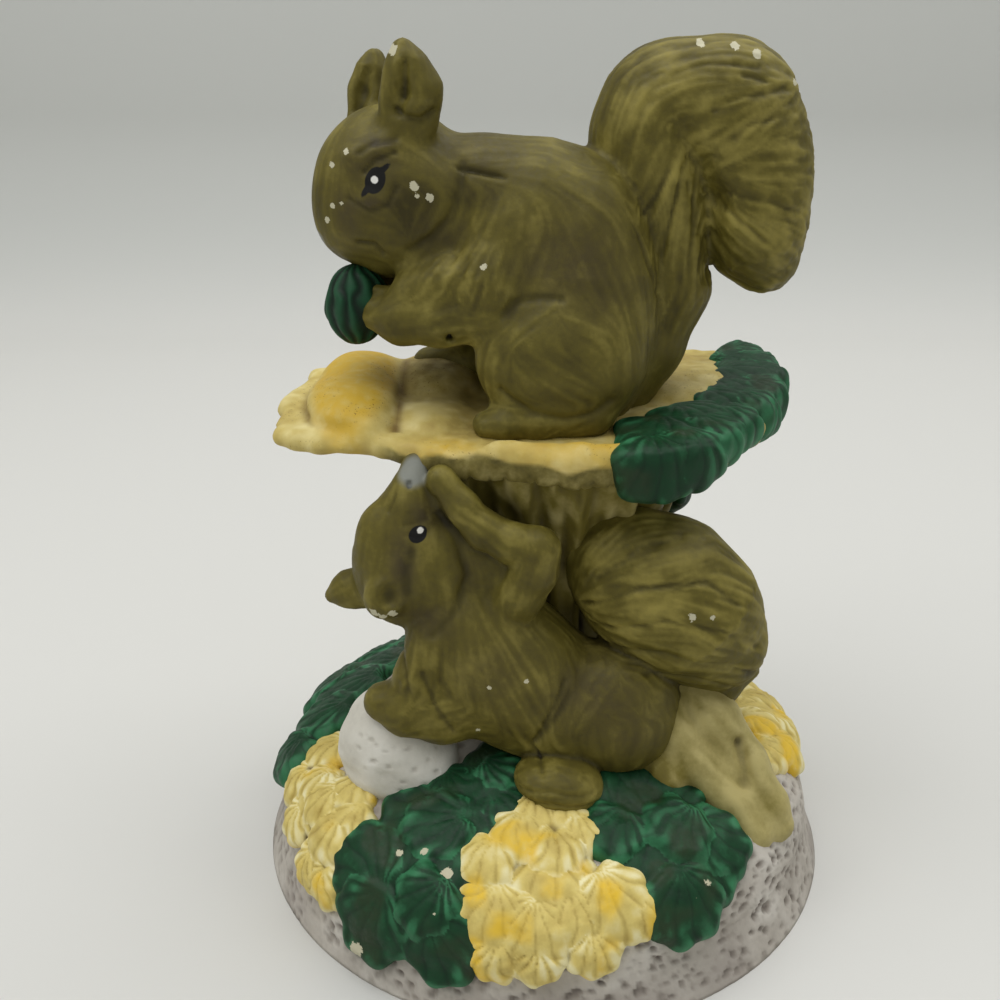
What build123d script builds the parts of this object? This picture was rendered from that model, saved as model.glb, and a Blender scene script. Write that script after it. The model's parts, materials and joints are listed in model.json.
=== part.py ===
from build123d import *
from dataclasses import dataclass
from math import atan2, cos, degrees, pi, radians, sin, sqrt, tan
import os

os.makedirs("parts", exist_ok=True)

# Two squirrels on a tree stump, a hollow ceramic figurine of castings luted together.
# All sizes are in millimetres. X runs to the right across the front, Y runs away from the
# front and Z is up. The origin is the middle of the foot ring, on the table.

# Base: a hollow mound, closed below by a slab with a vent
mound_radius = 57.0
mound_shoulder_radius = 54.0
mound_shoulder_height = 9.0
mound_height = 33.0
mound_shoulder_bend = 14.0
shell_wall = 4.5
floor_thickness = 3.5
floor_recess = 1.5
vent_radius = 7.0

# White stone, half sunk in the mound
stone_x = -29.0
stone_y = -18.0
stone_rise = 3.0
stone_length = 21.0
stone_width = 20.0
stone_height = 24.0

# Leaves sprigged on the mound and on the ledge
green_leaf_radius = 9.0
yellow_leaf_radius = 7.2
leaf_lift = 3.0
lens_rise = 3.5
hanging_leaf_length = 8.0
hanging_leaf_width = 12.0
hanging_leaf_height = 22.0
hanging_leaf_stand = 9.5

# Stump: a fluted trunk that flares under a tilted ledge
trunk_x = 2.0
trunk_y = 4.0
trunk_height = 53.0
trunk_waist_radius = 15.5
trunk_foot_radius = 20.0
trunk_flare_length = 60.0
trunk_flare_depth = 48.0
flute_count = 14
flute_depth = 1.1
root_rise = 15.0
root_right_turn = -32.0
root_front_turn = -52.0
root_right_reach = 49.5
root_front_reach = 38.0
root_right_girth = 13.0
root_front_girth = 9.5
root_back_left_turn = 143.0
root_back_right_turn = 32.0
root_back_left_reach = 38.0
root_back_right_reach = 31.0
root_back_girth = 9.0

# Ledge: the stump's broad top, higher at the back
ledge_x = 3.0
ledge_y = 3.5
ledge_length = 98.0
ledge_depth = 61.0
ledge_thickness = 5.0
ledge_tilt = 5.0
knob_x = -35.5
knob_y = 1.0
knob_length = 16.0
knob_width = 34.0
knob_height = 12.0
hump_x = -21.5
hump_y = 13.0
hump_length = 15.0
hump_width = 24.0
hump_height = 8.5

# Upper squirrel, sitting on the ledge and eating a nut
upper_seat_x = 3.0
upper_seat_y = 3.0
upper_length = 88.0
upper_depth = 34.0
upper_height = 64.0
upper_girth = 34.0
upper_head_length = 26.0
upper_head_width = 22.0
upper_head_height = 27.5
upper_head_yaw = 20.0
near_ear_length = 9.4
near_ear_width = 6.5
near_ear_height = 13.4
far_ear_length = 7.4
far_ear_width = 6.0
far_ear_height = 11.8
upper_haunch_length = 29.0
upper_haunch_width = 17.0
upper_haunch_height = 24.0
plume_length = 36.0
plume_width = 19.0
plume_height = 42.0
nut_length = 11.5
nut_width = 12.0
nut_height = 15.0

# Lower squirrel, climbing round the front of the stump
lower_sink = 8.0
lower_length = 82.0
lower_depth = 26.0
lower_height = 60.0
lower_girth = 28.0
lower_head_length = 21.2
lower_head_width = 19.0
lower_head_height = 29.4
lower_ear_size = 7.0
lower_tail_length = 35.0
lower_tail_width = 21.0
lower_tail_height = 38.0

# Where an oval quarter's control points stand, and the angles at which a tip is sectioned
quarter_share = 0.5523
tip_angles = (34.0, 66.0)

mound_crown_height = mound_height - mound_shoulder_height
mound_bend_centre = mound_shoulder_radius - mound_shoulder_bend
mound_crown_radius = (
    (mound_bend_centre ** 2 + mound_crown_height ** 2 - mound_shoulder_bend ** 2)
    / (2.0 * (mound_crown_height - mound_shoulder_bend))
)
mound_crown_centre = mound_height - mound_crown_radius
mound_bend_turn = atan2(mound_shoulder_height - mound_crown_centre, mound_bend_centre)
ledge_height = mound_height + trunk_height + ledge_thickness


@dataclass
class Animal:
    """An animal's seat and the sizes that its members are shares of."""

    seat: Vector
    length: float
    depth: float
    height: float
    girth: float

    def at(self, x_share, y_share, z_share):
        reach = Vector(x_share * self.length, y_share * self.depth, z_share * self.height)
        return self.seat + reach


def mound_profile(radius):
    """The mound's surface at a distance from the axis: level, outward and upward slope parts."""
    if radius < mound_crown_radius * cos(mound_bend_turn):
        lift = sqrt(mound_crown_radius ** 2 - radius ** 2)
        return mound_crown_centre + lift, radius / mound_crown_radius, lift / mound_crown_radius
    overhang = min(radius, mound_shoulder_radius) - mound_bend_centre
    lift = sqrt(mound_shoulder_bend ** 2 - overhang ** 2)
    return mound_shoulder_height + lift, overhang / mound_shoulder_bend, lift / mound_shoulder_bend


def mound_top(x, y):
    """Height of the mound's surface over a place inside its shoulder."""
    return mound_profile(sqrt(x * x + y * y))[0]


def ledge_top(y):
    """Height of the ledge's top face at a distance from the front."""
    return ledge_height + (y - ledge_y) * tan(radians(ledge_tilt))


def oval(half_x, half_y):
    """Control points of an oval's four quarters, always starting on its own X axis."""
    x, y = half_x, half_y
    inner_x, inner_y = x * quarter_share, y * quarter_share
    return [
        [(x, 0), (x, inner_y), (inner_x, y), (0, y)],
        [(0, y), (-inner_x, y), (-x, inner_y), (-x, 0)],
        [(-x, 0), (-x, -inner_y), (-inner_x, -y), (0, -y)],
        [(0, -y), (inner_x, -y), (x, -inner_y), (x, 0)],
    ]


def lofted(sections):
    """A smooth solid through ovals, each given by its plane and its two half sizes."""
    with BuildPart() as member:
        for plane, half_x, half_y in sections:
            with BuildSketch(plane):
                with BuildLine():
                    for quarter in oval(half_x, half_y):
                        Bezier(*quarter)
                make_face()
        loft()
    return member.part


def limb(animal, station_shares):
    """A member that follows a path in the animal's side view, rounded at both ends.

    Each station gives its place, its half size across the path and its half depth along Y.
    """
    places = [animal.at(*row[:3]) for row in station_shares]
    halves = [(row[3] * animal.girth, row[4] * animal.depth) for row in station_shares]
    last = len(places) - 1
    headings = []
    for number in range(last + 1):
        step = places[min(number + 1, last)] - places[max(number - 1, 0)]
        headings.append(Vector(step.X, 0, step.Z).normalized())
    sections = []
    for angle in reversed(tip_angles):
        reach = headings[0] * (-halves[0][0] * sin(radians(angle)))
        sections.append((places[0] + reach, headings[0], halves[0], cos(radians(angle))))
    for place, heading, half in zip(places, headings, halves):
        sections.append((place, heading, half, 1.0))
    for angle in tip_angles:
        reach = headings[last] * (halves[last][0] * sin(radians(angle)))
        sections.append((places[last] + reach, headings[last], halves[last], cos(radians(angle))))
    ovals = []
    for place, heading, (across, deep), scale_share in sections:
        plane = Plane(origin=place, x_dir=(0, 1, 0), z_dir=heading)
        ovals.append((plane, deep * scale_share, across * scale_share))
    return lofted(ovals)


def ovoid(centre, length, width, height, level_shares, yaw=0.0):
    """A rounded member from level ovals: level, shift along, half length and half width."""
    along = Vector(cos(radians(yaw)), sin(radians(yaw)), 0)
    ovals = []
    for level, shift, half_length, half_width in level_shares:
        place = centre + along * (shift * length) + Vector(0, 0, level * height)
        plane = Plane(origin=place, x_dir=along, z_dir=(0, 0, 1))
        ovals.append((plane, half_length * length, half_width * width))
    return lofted(ovals)


def lump(centre, length, width, height):
    """A plain ellipsoid, made at the origin and then carried to its centre."""
    with BuildPart() as member:
        Sphere(length / 2)
        scale(by=(1.0, width / length, height / length))
    return member.part.moved(Location(centre))


def seated(member, *carriers):
    """The member less the pieces that it sits on, as one solid."""
    with BuildPart() as seat:
        add(member)
        add(carriers, mode=Mode.SUBTRACT)
    return seat.part.solids().sort_by(SortBy.VOLUME)[-1]


def mirrored(station_shares):
    """The same stations on the far side of the animal."""
    return [(x, -y, z, across, deep) for x, y, z, across, deep in station_shares]


def on_mound(turn, reach_share):
    """A plane on the mound's surface, its X axis running downhill."""
    radius = mound_shoulder_radius * reach_share
    level, out_part, up_part = mound_profile(radius)
    outward = Vector(cos(radians(turn)), sin(radians(turn)), 0)
    up = Vector(0, 0, 1)
    return Plane(
        origin=outward * radius + up * level,
        x_dir=outward * up_part - up * out_part,
        z_dir=outward * out_part + up * up_part,
    )


def on_ledge(x_share, y_share, drop_share, turn, dip):
    """A plane on the ledge or down its rim, dipped from the top face towards a turn."""
    outward = Vector(cos(radians(turn)), sin(radians(turn)), 0)
    up = Vector(0, 0, 1)
    spot = Vector(x_share * ledge_length / 2, y_share * ledge_depth / 2, -drop_share * ledge_thickness)
    normal = outward * sin(radians(dip)) + up * cos(radians(dip))
    downhill = outward * cos(radians(dip)) - up * sin(radians(dip))
    return Plane(origin=ledge_plane.from_local_coords(spot), x_dir=downhill, z_dir=normal)


def cluster(planes, radius):
    """Domed leaf lobes joined into one casting: spheres sunk under their planes."""
    sphere_radius = (radius * radius + leaf_lift * leaf_lift) / (2.0 * leaf_lift)
    sunk = [place.from_local_coords(Vector(0, 0, leaf_lift - sphere_radius)) for place in planes]
    with BuildPart() as group:
        with Locations(*sunk):
            Sphere(sphere_radius)
    return group.part


def lenses(planes, radius):
    """Thick leaf lobes joined into one casting, each a lens lying on its plane."""
    sphere_radius = (radius * radius + lens_rise * lens_rise) / (2.0 * lens_rise)
    with BuildPart() as lens:
        with BuildSketch(Plane.XZ):
            with BuildLine():
                RadiusArc((0, -lens_rise), (radius, 0), -sphere_radius)
                RadiusArc((radius, 0), (0, lens_rise), -sphere_radius)
                Line((0, lens_rise), (0, -lens_rise))
            make_face()
        revolve(axis=Axis.Z)
    with BuildPart() as group:
        with Locations(*[place.location for place in planes]):
            add(lens.part)
    return group.part


def save(piece, name):
    """Labels a finished piece and writes it."""
    piece.part.label = name
    export_step(piece.part, f"parts/{name}.step")


def domed(inset):
    """The mound's full form, drawn in by an inset on every side but the underside."""
    foot_radius = mound_radius - inset
    shoulder_radius = mound_shoulder_radius - inset
    bend = degrees(mound_bend_turn)
    with BuildPart() as dome:
        with BuildSketch(Plane.XZ):
            with BuildLine():
                side = Polyline((0, 0), (foot_radius, 0), (shoulder_radius, mound_shoulder_height))
                shoulder = JernArc(side @ 1, (0, 1), mound_shoulder_bend - inset, bend)
                crown = JernArc(shoulder @ 1, shoulder % 1, mound_crown_radius - inset, 90 - bend)
                Line(crown @ 1, (0, 0))
            make_face()
        revolve(axis=Axis.Z)
    return dome.part


# Base mound: a shell of even wall, open below
mound_solid = domed(0)
mound_cavity = domed(shell_wall)
with BuildPart() as base_mound:
    add(mound_solid)
    add(mound_cavity, mode=Mode.SUBTRACT)
save(base_mound, "base_mound")

# Base floor: a slab fitted inside the foot ring, with the vent in its middle
with BuildPart() as base_floor:
    with Locations((0, 0, floor_recess)):
        Cylinder(mound_radius, floor_thickness, align=(Align.CENTER, Align.CENTER, Align.MIN))
    add(mound_cavity, mode=Mode.INTERSECT)
    Cylinder(vent_radius, mound_height, mode=Mode.SUBTRACT)
save(base_floor, "base_floor")

# Ledge slab: three outlines of one ragged shape, widest at mid thickness
ledge_outline_shares = [
    (-1.00, -0.51), (-0.98, 0.61), (-0.80, 0.87), (-0.47, 0.74), (-0.06, 0.87),
    (0.35, 0.97), (0.71, 1.00), (0.92, 0.74), (1.00, 0.28), (0.80, -0.25),
    (0.43, -0.84), (0.14, -1.00), (-0.27, -0.84), (-0.63, -0.77), (-0.76, -0.57),
]
ledge_rim_shares = [(-1.0, 0.92), (-0.7, 0.98), (-0.4, 1.0), (-0.15, 0.99), (0.0, 0.96)]
ledge_plane = Plane(
    origin=(ledge_x, ledge_y, ledge_height),
    x_dir=(1, 0, 0),
    z_dir=(0, -sin(radians(ledge_tilt)), cos(radians(ledge_tilt))),
)
with BuildPart() as ledge_slab:
    for level_share, size_share in ledge_rim_shares:
        with BuildSketch(ledge_plane.offset(level_share * ledge_thickness)):
            with BuildLine():
                half_length = size_share * ledge_length / 2
                half_depth = size_share * ledge_depth / 2
                Spline([(x * half_length, y * half_depth) for x, y in ledge_outline_shares], periodic=True)
            make_face()
    loft()
save(ledge_slab, "ledge_slab")

# Stump trunk: level, share of the way from waist to foot, and from waist to flare
trunk_level_shares = [
    (-0.20, 1.00, 0.00), (0.00, 0.75, 0.00), (0.20, 0.25, 0.00), (0.40, 0.00, 0.00),
    (0.60, 0.00, 0.14), (0.78, 0.00, 0.45), (0.92, 0.00, 0.80),
]


def fluted(half_length, half_depth):
    """Arcs round a fluted oval, each from a furrow over a ridge to the next furrow."""
    arcs = []
    for number in range(flute_count):
        points = []
        for part_share, furrow in ((0.0, flute_depth), (0.5, 0.0), (1.0, flute_depth)):
            turn = 2.0 * pi * (number + part_share) / flute_count
            points.append(((half_length - furrow) * cos(turn), (half_depth - furrow) * sin(turn)))
        arcs.append(points)
    return arcs


with BuildPart() as trunk_stock:
    for level_share, foot_share, flare_share in trunk_level_shares:
        foot_growth = foot_share * (trunk_foot_radius - trunk_waist_radius)
        half_length = trunk_waist_radius + foot_growth
        half_length += flare_share * (trunk_flare_length / 2 - trunk_waist_radius)
        half_depth = trunk_waist_radius + foot_growth
        half_depth += flare_share * (trunk_flare_depth / 2 - trunk_waist_radius)
        level = mound_height + level_share * trunk_height
        with BuildSketch(Plane(origin=(trunk_x, trunk_y, level), x_dir=(1, 0, 0), z_dir=(0, 0, 1))):
            with BuildLine():
                for points in fluted(half_length, half_depth):
                    ThreePointArc(*points)
            make_face()
    flare_plane = ledge_plane.offset(-ledge_thickness / 2)
    flare_middle = flare_plane.to_local_coords(Vector(trunk_x, trunk_y, ledge_top(trunk_y)))
    with BuildSketch(flare_plane):
        with BuildLine():
            for points in fluted(trunk_flare_length / 2, trunk_flare_depth / 2):
                ThreePointArc(*[(x + flare_middle.X, y + flare_middle.Y) for x, y in points])
        make_face()
    loft()
with BuildPart() as stump_trunk:
    add(seated(trunk_stock.part, mound_solid, ledge_slab.part))
save(stump_trunk, "stump_trunk")

# White stone under the climbing squirrel's foreleg
stone_centre = Vector(stone_x, stone_y, mound_top(stone_x, stone_y) + stone_rise)
with BuildPart() as white_stone:
    add(seated(
        lump(stone_centre, stone_length, stone_width, stone_height),
        mound_solid,
    ))
save(white_stone, "white_stone")

# Roots: stations along a radial plane, as shares of the reach, the rise and the girth
root_station_shares = [
    (0.28, 1.00, 0.80), (0.48, 0.78, 1.00), (0.69, 0.43, 0.92), (0.86, 0.16, 0.80), (1.00, -0.06, 0.62),
]


def root(turn, reach, girth, rise):
    """A root that leaves the trunk at a turn about its axis and dives into the mound."""
    axis = Vector(trunk_x, trunk_y, 0)
    heading = Vector(cos(radians(turn)), sin(radians(turn)), 0)
    sideways = Vector(-heading.Y, heading.X, 0)
    places = []
    for reach_share, rise_share, girth_share in root_station_shares:
        spot = axis + heading * (reach * reach_share)
        level = mound_top(spot.X, spot.Y) + rise * rise_share
        places.append((Vector(spot.X, spot.Y, level), girth_share * girth / 2))
    ovals = []
    last = len(places) - 1
    for number, (place, half) in enumerate(places):
        step = places[min(number + 1, last)][0] - places[max(number - 1, 0)][0]
        plane = Plane(origin=place, x_dir=sideways, z_dir=step.normalized())
        ovals.append((plane, half, half))
    return lofted(ovals)


with BuildPart() as stump_root_right:
    add(seated(
        root(root_right_turn, root_right_reach, root_right_girth, root_rise),
        mound_solid, stump_trunk.part,
    ))
save(stump_root_right, "stump_root_right")

with BuildPart() as stump_root_front:
    add(seated(
        root(root_front_turn, root_front_reach, root_front_girth, root_rise),
        mound_solid, stump_trunk.part, stump_root_right.part,
    ))
save(stump_root_front, "stump_root_front")

with BuildPart() as stump_root_back_left:
    add(seated(
        root(root_back_left_turn, root_back_left_reach, root_back_girth, root_rise),
        mound_solid, stump_trunk.part,
    ))
save(stump_root_back_left, "stump_root_back_left")

with BuildPart() as stump_root_back_right:
    add(seated(
        root(root_back_right_turn, root_back_right_reach, root_back_girth, root_rise),
        mound_solid, stump_trunk.part,
    ))
save(stump_root_back_right, "stump_root_back_right")

# Ledge knob: a rounded lump across the ledge's left end
knob_centre = Vector(knob_x, knob_y, ledge_top(knob_y))
with BuildPart() as ledge_knob:
    add(seated(
        lump(knob_centre, knob_length, knob_width, knob_height),
        ledge_slab.part,
    ))
save(ledge_knob, "ledge_knob")

# Ledge hump: a lower swell between the knob and the sitting squirrel
hump_centre = Vector(hump_x, hump_y, ledge_top(hump_y))
with BuildPart() as ledge_hump:
    add(seated(
        lump(hump_centre, hump_length, hump_width, hump_height),
        ledge_slab.part, ledge_knob.part,
    ))
save(ledge_hump, "ledge_hump")

# Upper squirrel: stations are x, y and z shares, half girth and half depth shares
upper = Animal(
    Vector(upper_seat_x, upper_seat_y, ledge_top(upper_seat_y)),
    upper_length, upper_depth, upper_height, upper_girth,
)
upper_head_levels_share = [
    (-0.49, -0.11, 0.13, 0.16), (-0.45, -0.09, 0.26, 0.28), (-0.35, -0.06, 0.40, 0.40),
    (-0.22, -0.03, 0.47, 0.47), (-0.09, -0.01, 0.50, 0.50), (0.05, 0.00, 0.50, 0.51),
    (0.20, 0.01, 0.47, 0.48), (0.32, 0.02, 0.39, 0.41), (0.42, 0.06, 0.27, 0.29), (0.49, 0.13, 0.13, 0.15),
]
ear_levels_share = [
    (-0.50, 0.00, 0.50, 0.50), (-0.16, 0.03, 0.47, 0.46), (0.13, 0.02, 0.35, 0.37),
    (0.36, -0.02, 0.21, 0.23), (0.49, -0.04, 0.07, 0.09),
]
upper_head_centre = upper.at(-0.36, 0.0, 0.62)
with BuildPart() as upper_head:
    add(ovoid(
        upper_head_centre, upper_head_length, upper_head_width, upper_head_height,
        upper_head_levels_share, yaw=upper_head_yaw,
    ))
save(upper_head, "upper_head")

upper_body_stations_share = [
    (0.00, 0.00, 0.03, 0.32, 0.33), (0.00, 0.00, 0.10, 0.44, 0.41), (0.00, 0.00, 0.25, 0.48, 0.45),
    (-0.03, 0.00, 0.42, 0.49, 0.44), (-0.09, -0.01, 0.555, 0.41, 0.37), (-0.17, -0.01, 0.625, 0.25, 0.29),
    (-0.28, -0.01, 0.65, 0.22, 0.25),
]
with BuildPart() as upper_body:
    add(seated(limb(upper, upper_body_stations_share), ledge_slab.part, upper_head.part))
save(upper_body, "upper_body")

near_ear_centre = upper.at(-0.30, -0.18, 0.87)
far_ear_centre = upper.at(-0.39, 0.21, 0.86)
with BuildPart() as upper_ear_near:
    add(seated(
        ovoid(near_ear_centre, near_ear_length, near_ear_width, near_ear_height, ear_levels_share),
        upper_head.part, upper_body.part,
    ))
save(upper_ear_near, "upper_ear_near")

with BuildPart() as upper_ear_far:
    add(seated(
        ovoid(far_ear_centre, far_ear_length, far_ear_width, far_ear_height, ear_levels_share),
        upper_head.part, upper_body.part, upper_ear_near.part,
    ))
save(upper_ear_far, "upper_ear_far")

haunch_side_share = 0.32
with BuildPart() as upper_haunch_near:
    add(seated(
        lump(
            upper.at(-0.01, -haunch_side_share, 0.17), upper_haunch_length, upper_haunch_width,
            upper_haunch_height,
        ),
        upper_body.part, ledge_slab.part,
    ))
save(upper_haunch_near, "upper_haunch_near")

with BuildPart() as upper_haunch_far:
    add(seated(
        lump(
            upper.at(-0.01, haunch_side_share, 0.17), upper_haunch_length, upper_haunch_width,
            upper_haunch_height,
        ),
        upper_body.part, ledge_slab.part,
    ))
save(upper_haunch_far, "upper_haunch_far")

foot_near_stations_share = [
    (0.01, -0.44, 0.025, 0.106, 0.147), (-0.10, -0.455, 0.025, 0.10, 0.14), (-0.20, -0.47, 0.02, 0.085, 0.115),
]
with BuildPart() as upper_foot_near:
    add(seated(
        limb(upper, foot_near_stations_share),
        upper_body.part, upper_haunch_near.part, ledge_slab.part,
    ))
save(upper_foot_near, "upper_foot_near")

foot_far_stations_share = [
    (-0.06, 0.35, 0.095, 0.147, 0.147), (-0.19, 0.37, 0.08, 0.124, 0.147), (-0.32, 0.38, 0.066, 0.094, 0.124),
]
with BuildPart() as upper_foot_far:
    add(seated(
        limb(upper, foot_far_stations_share),
        upper_body.part, upper_haunch_far.part, ledge_slab.part, ledge_knob.part, ledge_hump.part,
    ))
save(upper_foot_far, "upper_foot_far")

with BuildPart() as nut:
    add(seated(
        lump(upper.at(-0.425, -0.06, 0.305), nut_length, nut_width, nut_height),
        upper_head.part,
    ))
save(nut, "nut")

upper_arm_stations_share = [
    (-0.10, -0.26, 0.53, 0.19, 0.16), (-0.13, -0.34, 0.39, 0.20, 0.16), (-0.15, -0.34, 0.29, 0.147, 0.14),
]
forearm_stations_share = [
    (-0.13, -0.32, 0.28, 0.126, 0.13), (-0.24, -0.30, 0.275, 0.115, 0.124), (-0.36, -0.21, 0.28, 0.106, 0.124),
]
with BuildPart() as upper_arm_near:
    add(seated(limb(upper, upper_arm_stations_share), upper_body.part, upper_haunch_near.part, upper_head.part))
save(upper_arm_near, "upper_arm_near")

with BuildPart() as upper_arm_far:
    add(seated(
        limb(upper, mirrored(upper_arm_stations_share)),
        upper_body.part, upper_haunch_far.part, upper_head.part,
    ))
save(upper_arm_far, "upper_arm_far")

with BuildPart() as upper_forearm_near:
    add(seated(
        limb(upper, forearm_stations_share),
        upper_arm_near.part, upper_body.part, upper_haunch_near.part, nut.part,
    ))
save(upper_forearm_near, "upper_forearm_near")

with BuildPart() as upper_forearm_far:
    add(seated(
        limb(upper, mirrored(forearm_stations_share)),
        upper_arm_far.part, upper_body.part, upper_haunch_far.part, nut.part, upper_forearm_near.part,
    ))
save(upper_forearm_far, "upper_forearm_far")

# Upper tail: a stem up the back, and a plume that curls over and hangs behind it
tail_stem_stations_share = [
    (0.14, 0.06, 0.06, 0.14, 0.16), (0.17, 0.07, 0.17, 0.15, 0.17), (0.216, 0.09, 0.31, 0.165, 0.19),
    (0.215, 0.09, 0.47, 0.185, 0.21), (0.18, 0.09, 0.58, 0.235, 0.235), (0.165, 0.09, 0.64, 0.25, 0.24),
]
plume_levels_share = [
    (-0.50, 0.225, 0.075, 0.16), (-0.43, 0.167, 0.18, 0.29), (-0.35, 0.122, 0.23, 0.38),
    (-0.22, 0.10, 0.275, 0.44), (-0.10, 0.07, 0.30, 0.47), (0.00, -0.01, 0.36, 0.49),
    (0.12, -0.195, 0.52, 0.50), (0.20, -0.215, 0.515, 0.50), (0.28, -0.23, 0.485, 0.49),
    (0.36, -0.255, 0.43, 0.44), (0.43, -0.275, 0.34, 0.33), (0.48, -0.27, 0.11, 0.12),
]
with BuildPart() as tail_stock:
    add(limb(upper, tail_stem_stations_share))
    add(ovoid(upper.at(0.34, 0.09, 0.66), plume_length, plume_width, plume_height, plume_levels_share))
with BuildPart() as upper_tail:
    add(seated(
        tail_stock.part,
        upper_body.part, upper_haunch_near.part, upper_haunch_far.part, ledge_slab.part,
    ))
save(upper_tail, "upper_tail")

# Lower squirrel: its seat follows the front of the trunk's waist and the mound's top
lower = Animal(
    Vector(trunk_x, trunk_y - trunk_waist_radius, mound_height - lower_sink),
    lower_length, lower_depth, lower_height, lower_girth,
)
lower_head_levels_share = [
    (-0.49, 0.04, 0.165, 0.18), (-0.41, 0.02, 0.33, 0.34), (-0.29, 0.01, 0.44, 0.45),
    (-0.12, 0.00, 0.50, 0.50), (0.05, 0.00, 0.47, 0.48), (0.20, 0.01, 0.38, 0.40),
    (0.34, 0.02, 0.26, 0.28), (0.44, 0.01, 0.17, 0.19), (0.50, -0.01, 0.085, 0.095),
]
lower_body_stations_share = [
    (-0.26, -0.15, 0.60, 0.286, 0.31), (-0.17, -0.15, 0.467, 0.43, 0.365), (-0.11, -0.17, 0.317, 0.49, 0.40),
    (-0.01, -0.21, 0.21, 0.446, 0.385), (0.10, -0.21, 0.175, 0.32, 0.31),
]
with BuildPart() as lower_head:
    add(seated(
        ovoid(
            lower.at(-0.327, -0.21, 0.74), lower_head_length, lower_head_width, lower_head_height,
            lower_head_levels_share,
        ),
        stump_trunk.part, ledge_slab.part,
    ))
save(lower_head, "lower_head")

with BuildPart() as lower_body:
    add(seated(
        limb(lower, lower_body_stations_share),
        stump_trunk.part, mound_solid, lower_head.part, white_stone.part, stump_root_front.part,
    ))
save(lower_body, "lower_body")

lower_haunch_stations_share = [
    (-0.06, -0.29, 0.158, 0.16, 0.17), (0.025, -0.33, 0.20, 0.34, 0.31), (0.122, -0.35, 0.227, 0.446, 0.37),
    (0.22, -0.33, 0.242, 0.375, 0.31), (0.29, -0.29, 0.267, 0.16, 0.17),
]
with BuildPart() as lower_haunch:
    add(seated(
        limb(lower, lower_haunch_stations_share),
        lower_body.part, stump_trunk.part, mound_solid, stump_root_front.part, stump_root_right.part,
    ))
save(lower_haunch, "lower_haunch")

lower_tail_levels_share = [
    (-0.495, 0.27, 0.10, 0.17), (-0.43, 0.17, 0.286, 0.31), (-0.324, 0.114, 0.41, 0.42),
    (-0.19, 0.05, 0.49, 0.485), (-0.06, 0.00, 0.497, 0.50), (0.084, -0.05, 0.457, 0.476),
    (0.23, -0.11, 0.39, 0.43), (0.36, -0.157, 0.27, 0.33), (0.453, -0.177, 0.157, 0.21), (0.497, -0.18, 0.063, 0.095),
]
with BuildPart() as lower_tail:
    add(seated(
        ovoid(
            lower.at(0.238, -0.096, 0.555), lower_tail_length, lower_tail_width, lower_tail_height,
            lower_tail_levels_share,
        ),
        stump_trunk.part, lower_body.part, lower_haunch.part, stump_root_right.part, stump_root_front.part,
    ))
save(lower_tail, "lower_tail")

lower_arm_stations_share = [
    (-0.037, -0.27, 0.735, 0.18, 0.19), (-0.073, -0.27, 0.65, 0.20, 0.21), (-0.122, -0.25, 0.60, 0.196, 0.21),
]
lower_forearm_stations_share = [
    (-0.23, -0.154, 0.967, 0.143, 0.154), (-0.134, -0.23, 0.86, 0.154, 0.165), (-0.05, -0.27, 0.76, 0.17, 0.173),
]
with BuildPart() as lower_arm:
    add(seated(
        limb(lower, lower_arm_stations_share),
        lower_body.part, lower_head.part, stump_trunk.part, lower_tail.part,
    ))
save(lower_arm, "lower_arm")

with BuildPart() as lower_forearm:
    add(seated(
        limb(lower, lower_forearm_stations_share),
        lower_arm.part, lower_head.part, stump_trunk.part, ledge_slab.part, lower_body.part, lower_tail.part,
    ))
save(lower_forearm, "lower_forearm")

lower_foreleg_stations_share = [
    (-0.41, -0.29, 0.30, 0.12, 0.13), (-0.354, -0.33, 0.258, 0.214, 0.21),
    (-0.28, -0.31, 0.208, 0.28, 0.27), (-0.195, -0.25, 0.183, 0.27, 0.27),
]
with BuildPart() as lower_foreleg:
    add(seated(
        limb(lower, lower_foreleg_stations_share),
        lower_body.part, white_stone.part, mound_solid, stump_trunk.part,
    ))
save(lower_foreleg, "lower_foreleg")

lower_foot_stations_share = [
    (0.073, -0.75, 0.10, 0.15, 0.19), (0.00, -0.827, 0.075, 0.164, 0.19), (-0.085, -0.885, 0.047, 0.12, 0.155),
]
with BuildPart() as lower_foot:
    add(seated(limb(lower, lower_foot_stations_share), lower_haunch.part, lower_body.part, mound_solid))
save(lower_foot, "lower_foot")

with BuildPart() as lower_ear_near:
    add(seated(
        lump(lower.at(-0.385, -0.48, 0.655), lower_ear_size, lower_ear_size, lower_ear_size),
        lower_head.part, lower_body.part,
    ))
save(lower_ear_near, "lower_ear_near")

lower_ear_far_stations_share = [
    (-0.42, -0.10, 0.60, 0.157, 0.115), (-0.48, -0.10, 0.58, 0.10, 0.085), (-0.51, -0.10, 0.567, 0.04, 0.04),
]
with BuildPart() as lower_ear_far:
    add(seated(limb(lower, lower_ear_far_stations_share), lower_head.part, lower_body.part))
save(lower_ear_far, "lower_ear_far")

# Leaf clusters on the mound: each lobe's turn about the mound and reach share
front_left_shares = [
    (-130, 0.92), (-124, 0.985), (-114, 0.90), (-110, 0.975), (-121, 0.76), (-113, 0.58),
]
with BuildPart() as green_leaves_front_left:
    add(seated(
        cluster([on_mound(*row) for row in front_left_shares], green_leaf_radius),
        mound_solid, white_stone.part, lower_body.part, lower_foreleg.part, lower_foot.part,
    ))
save(green_leaves_front_left, "green_leaves_front_left")

front_right_shares = [(-63, 0.76), (-73, 0.68), (-53, 0.86), (-64, 0.93)]
with BuildPart() as green_leaves_front_right:
    add(seated(
        cluster([on_mound(*row) for row in front_right_shares], green_leaf_radius),
        mound_solid, stump_root_right.part, stump_root_front.part, lower_foot.part, lower_haunch.part,
    ))
save(green_leaves_front_right, "green_leaves_front_right")

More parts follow.
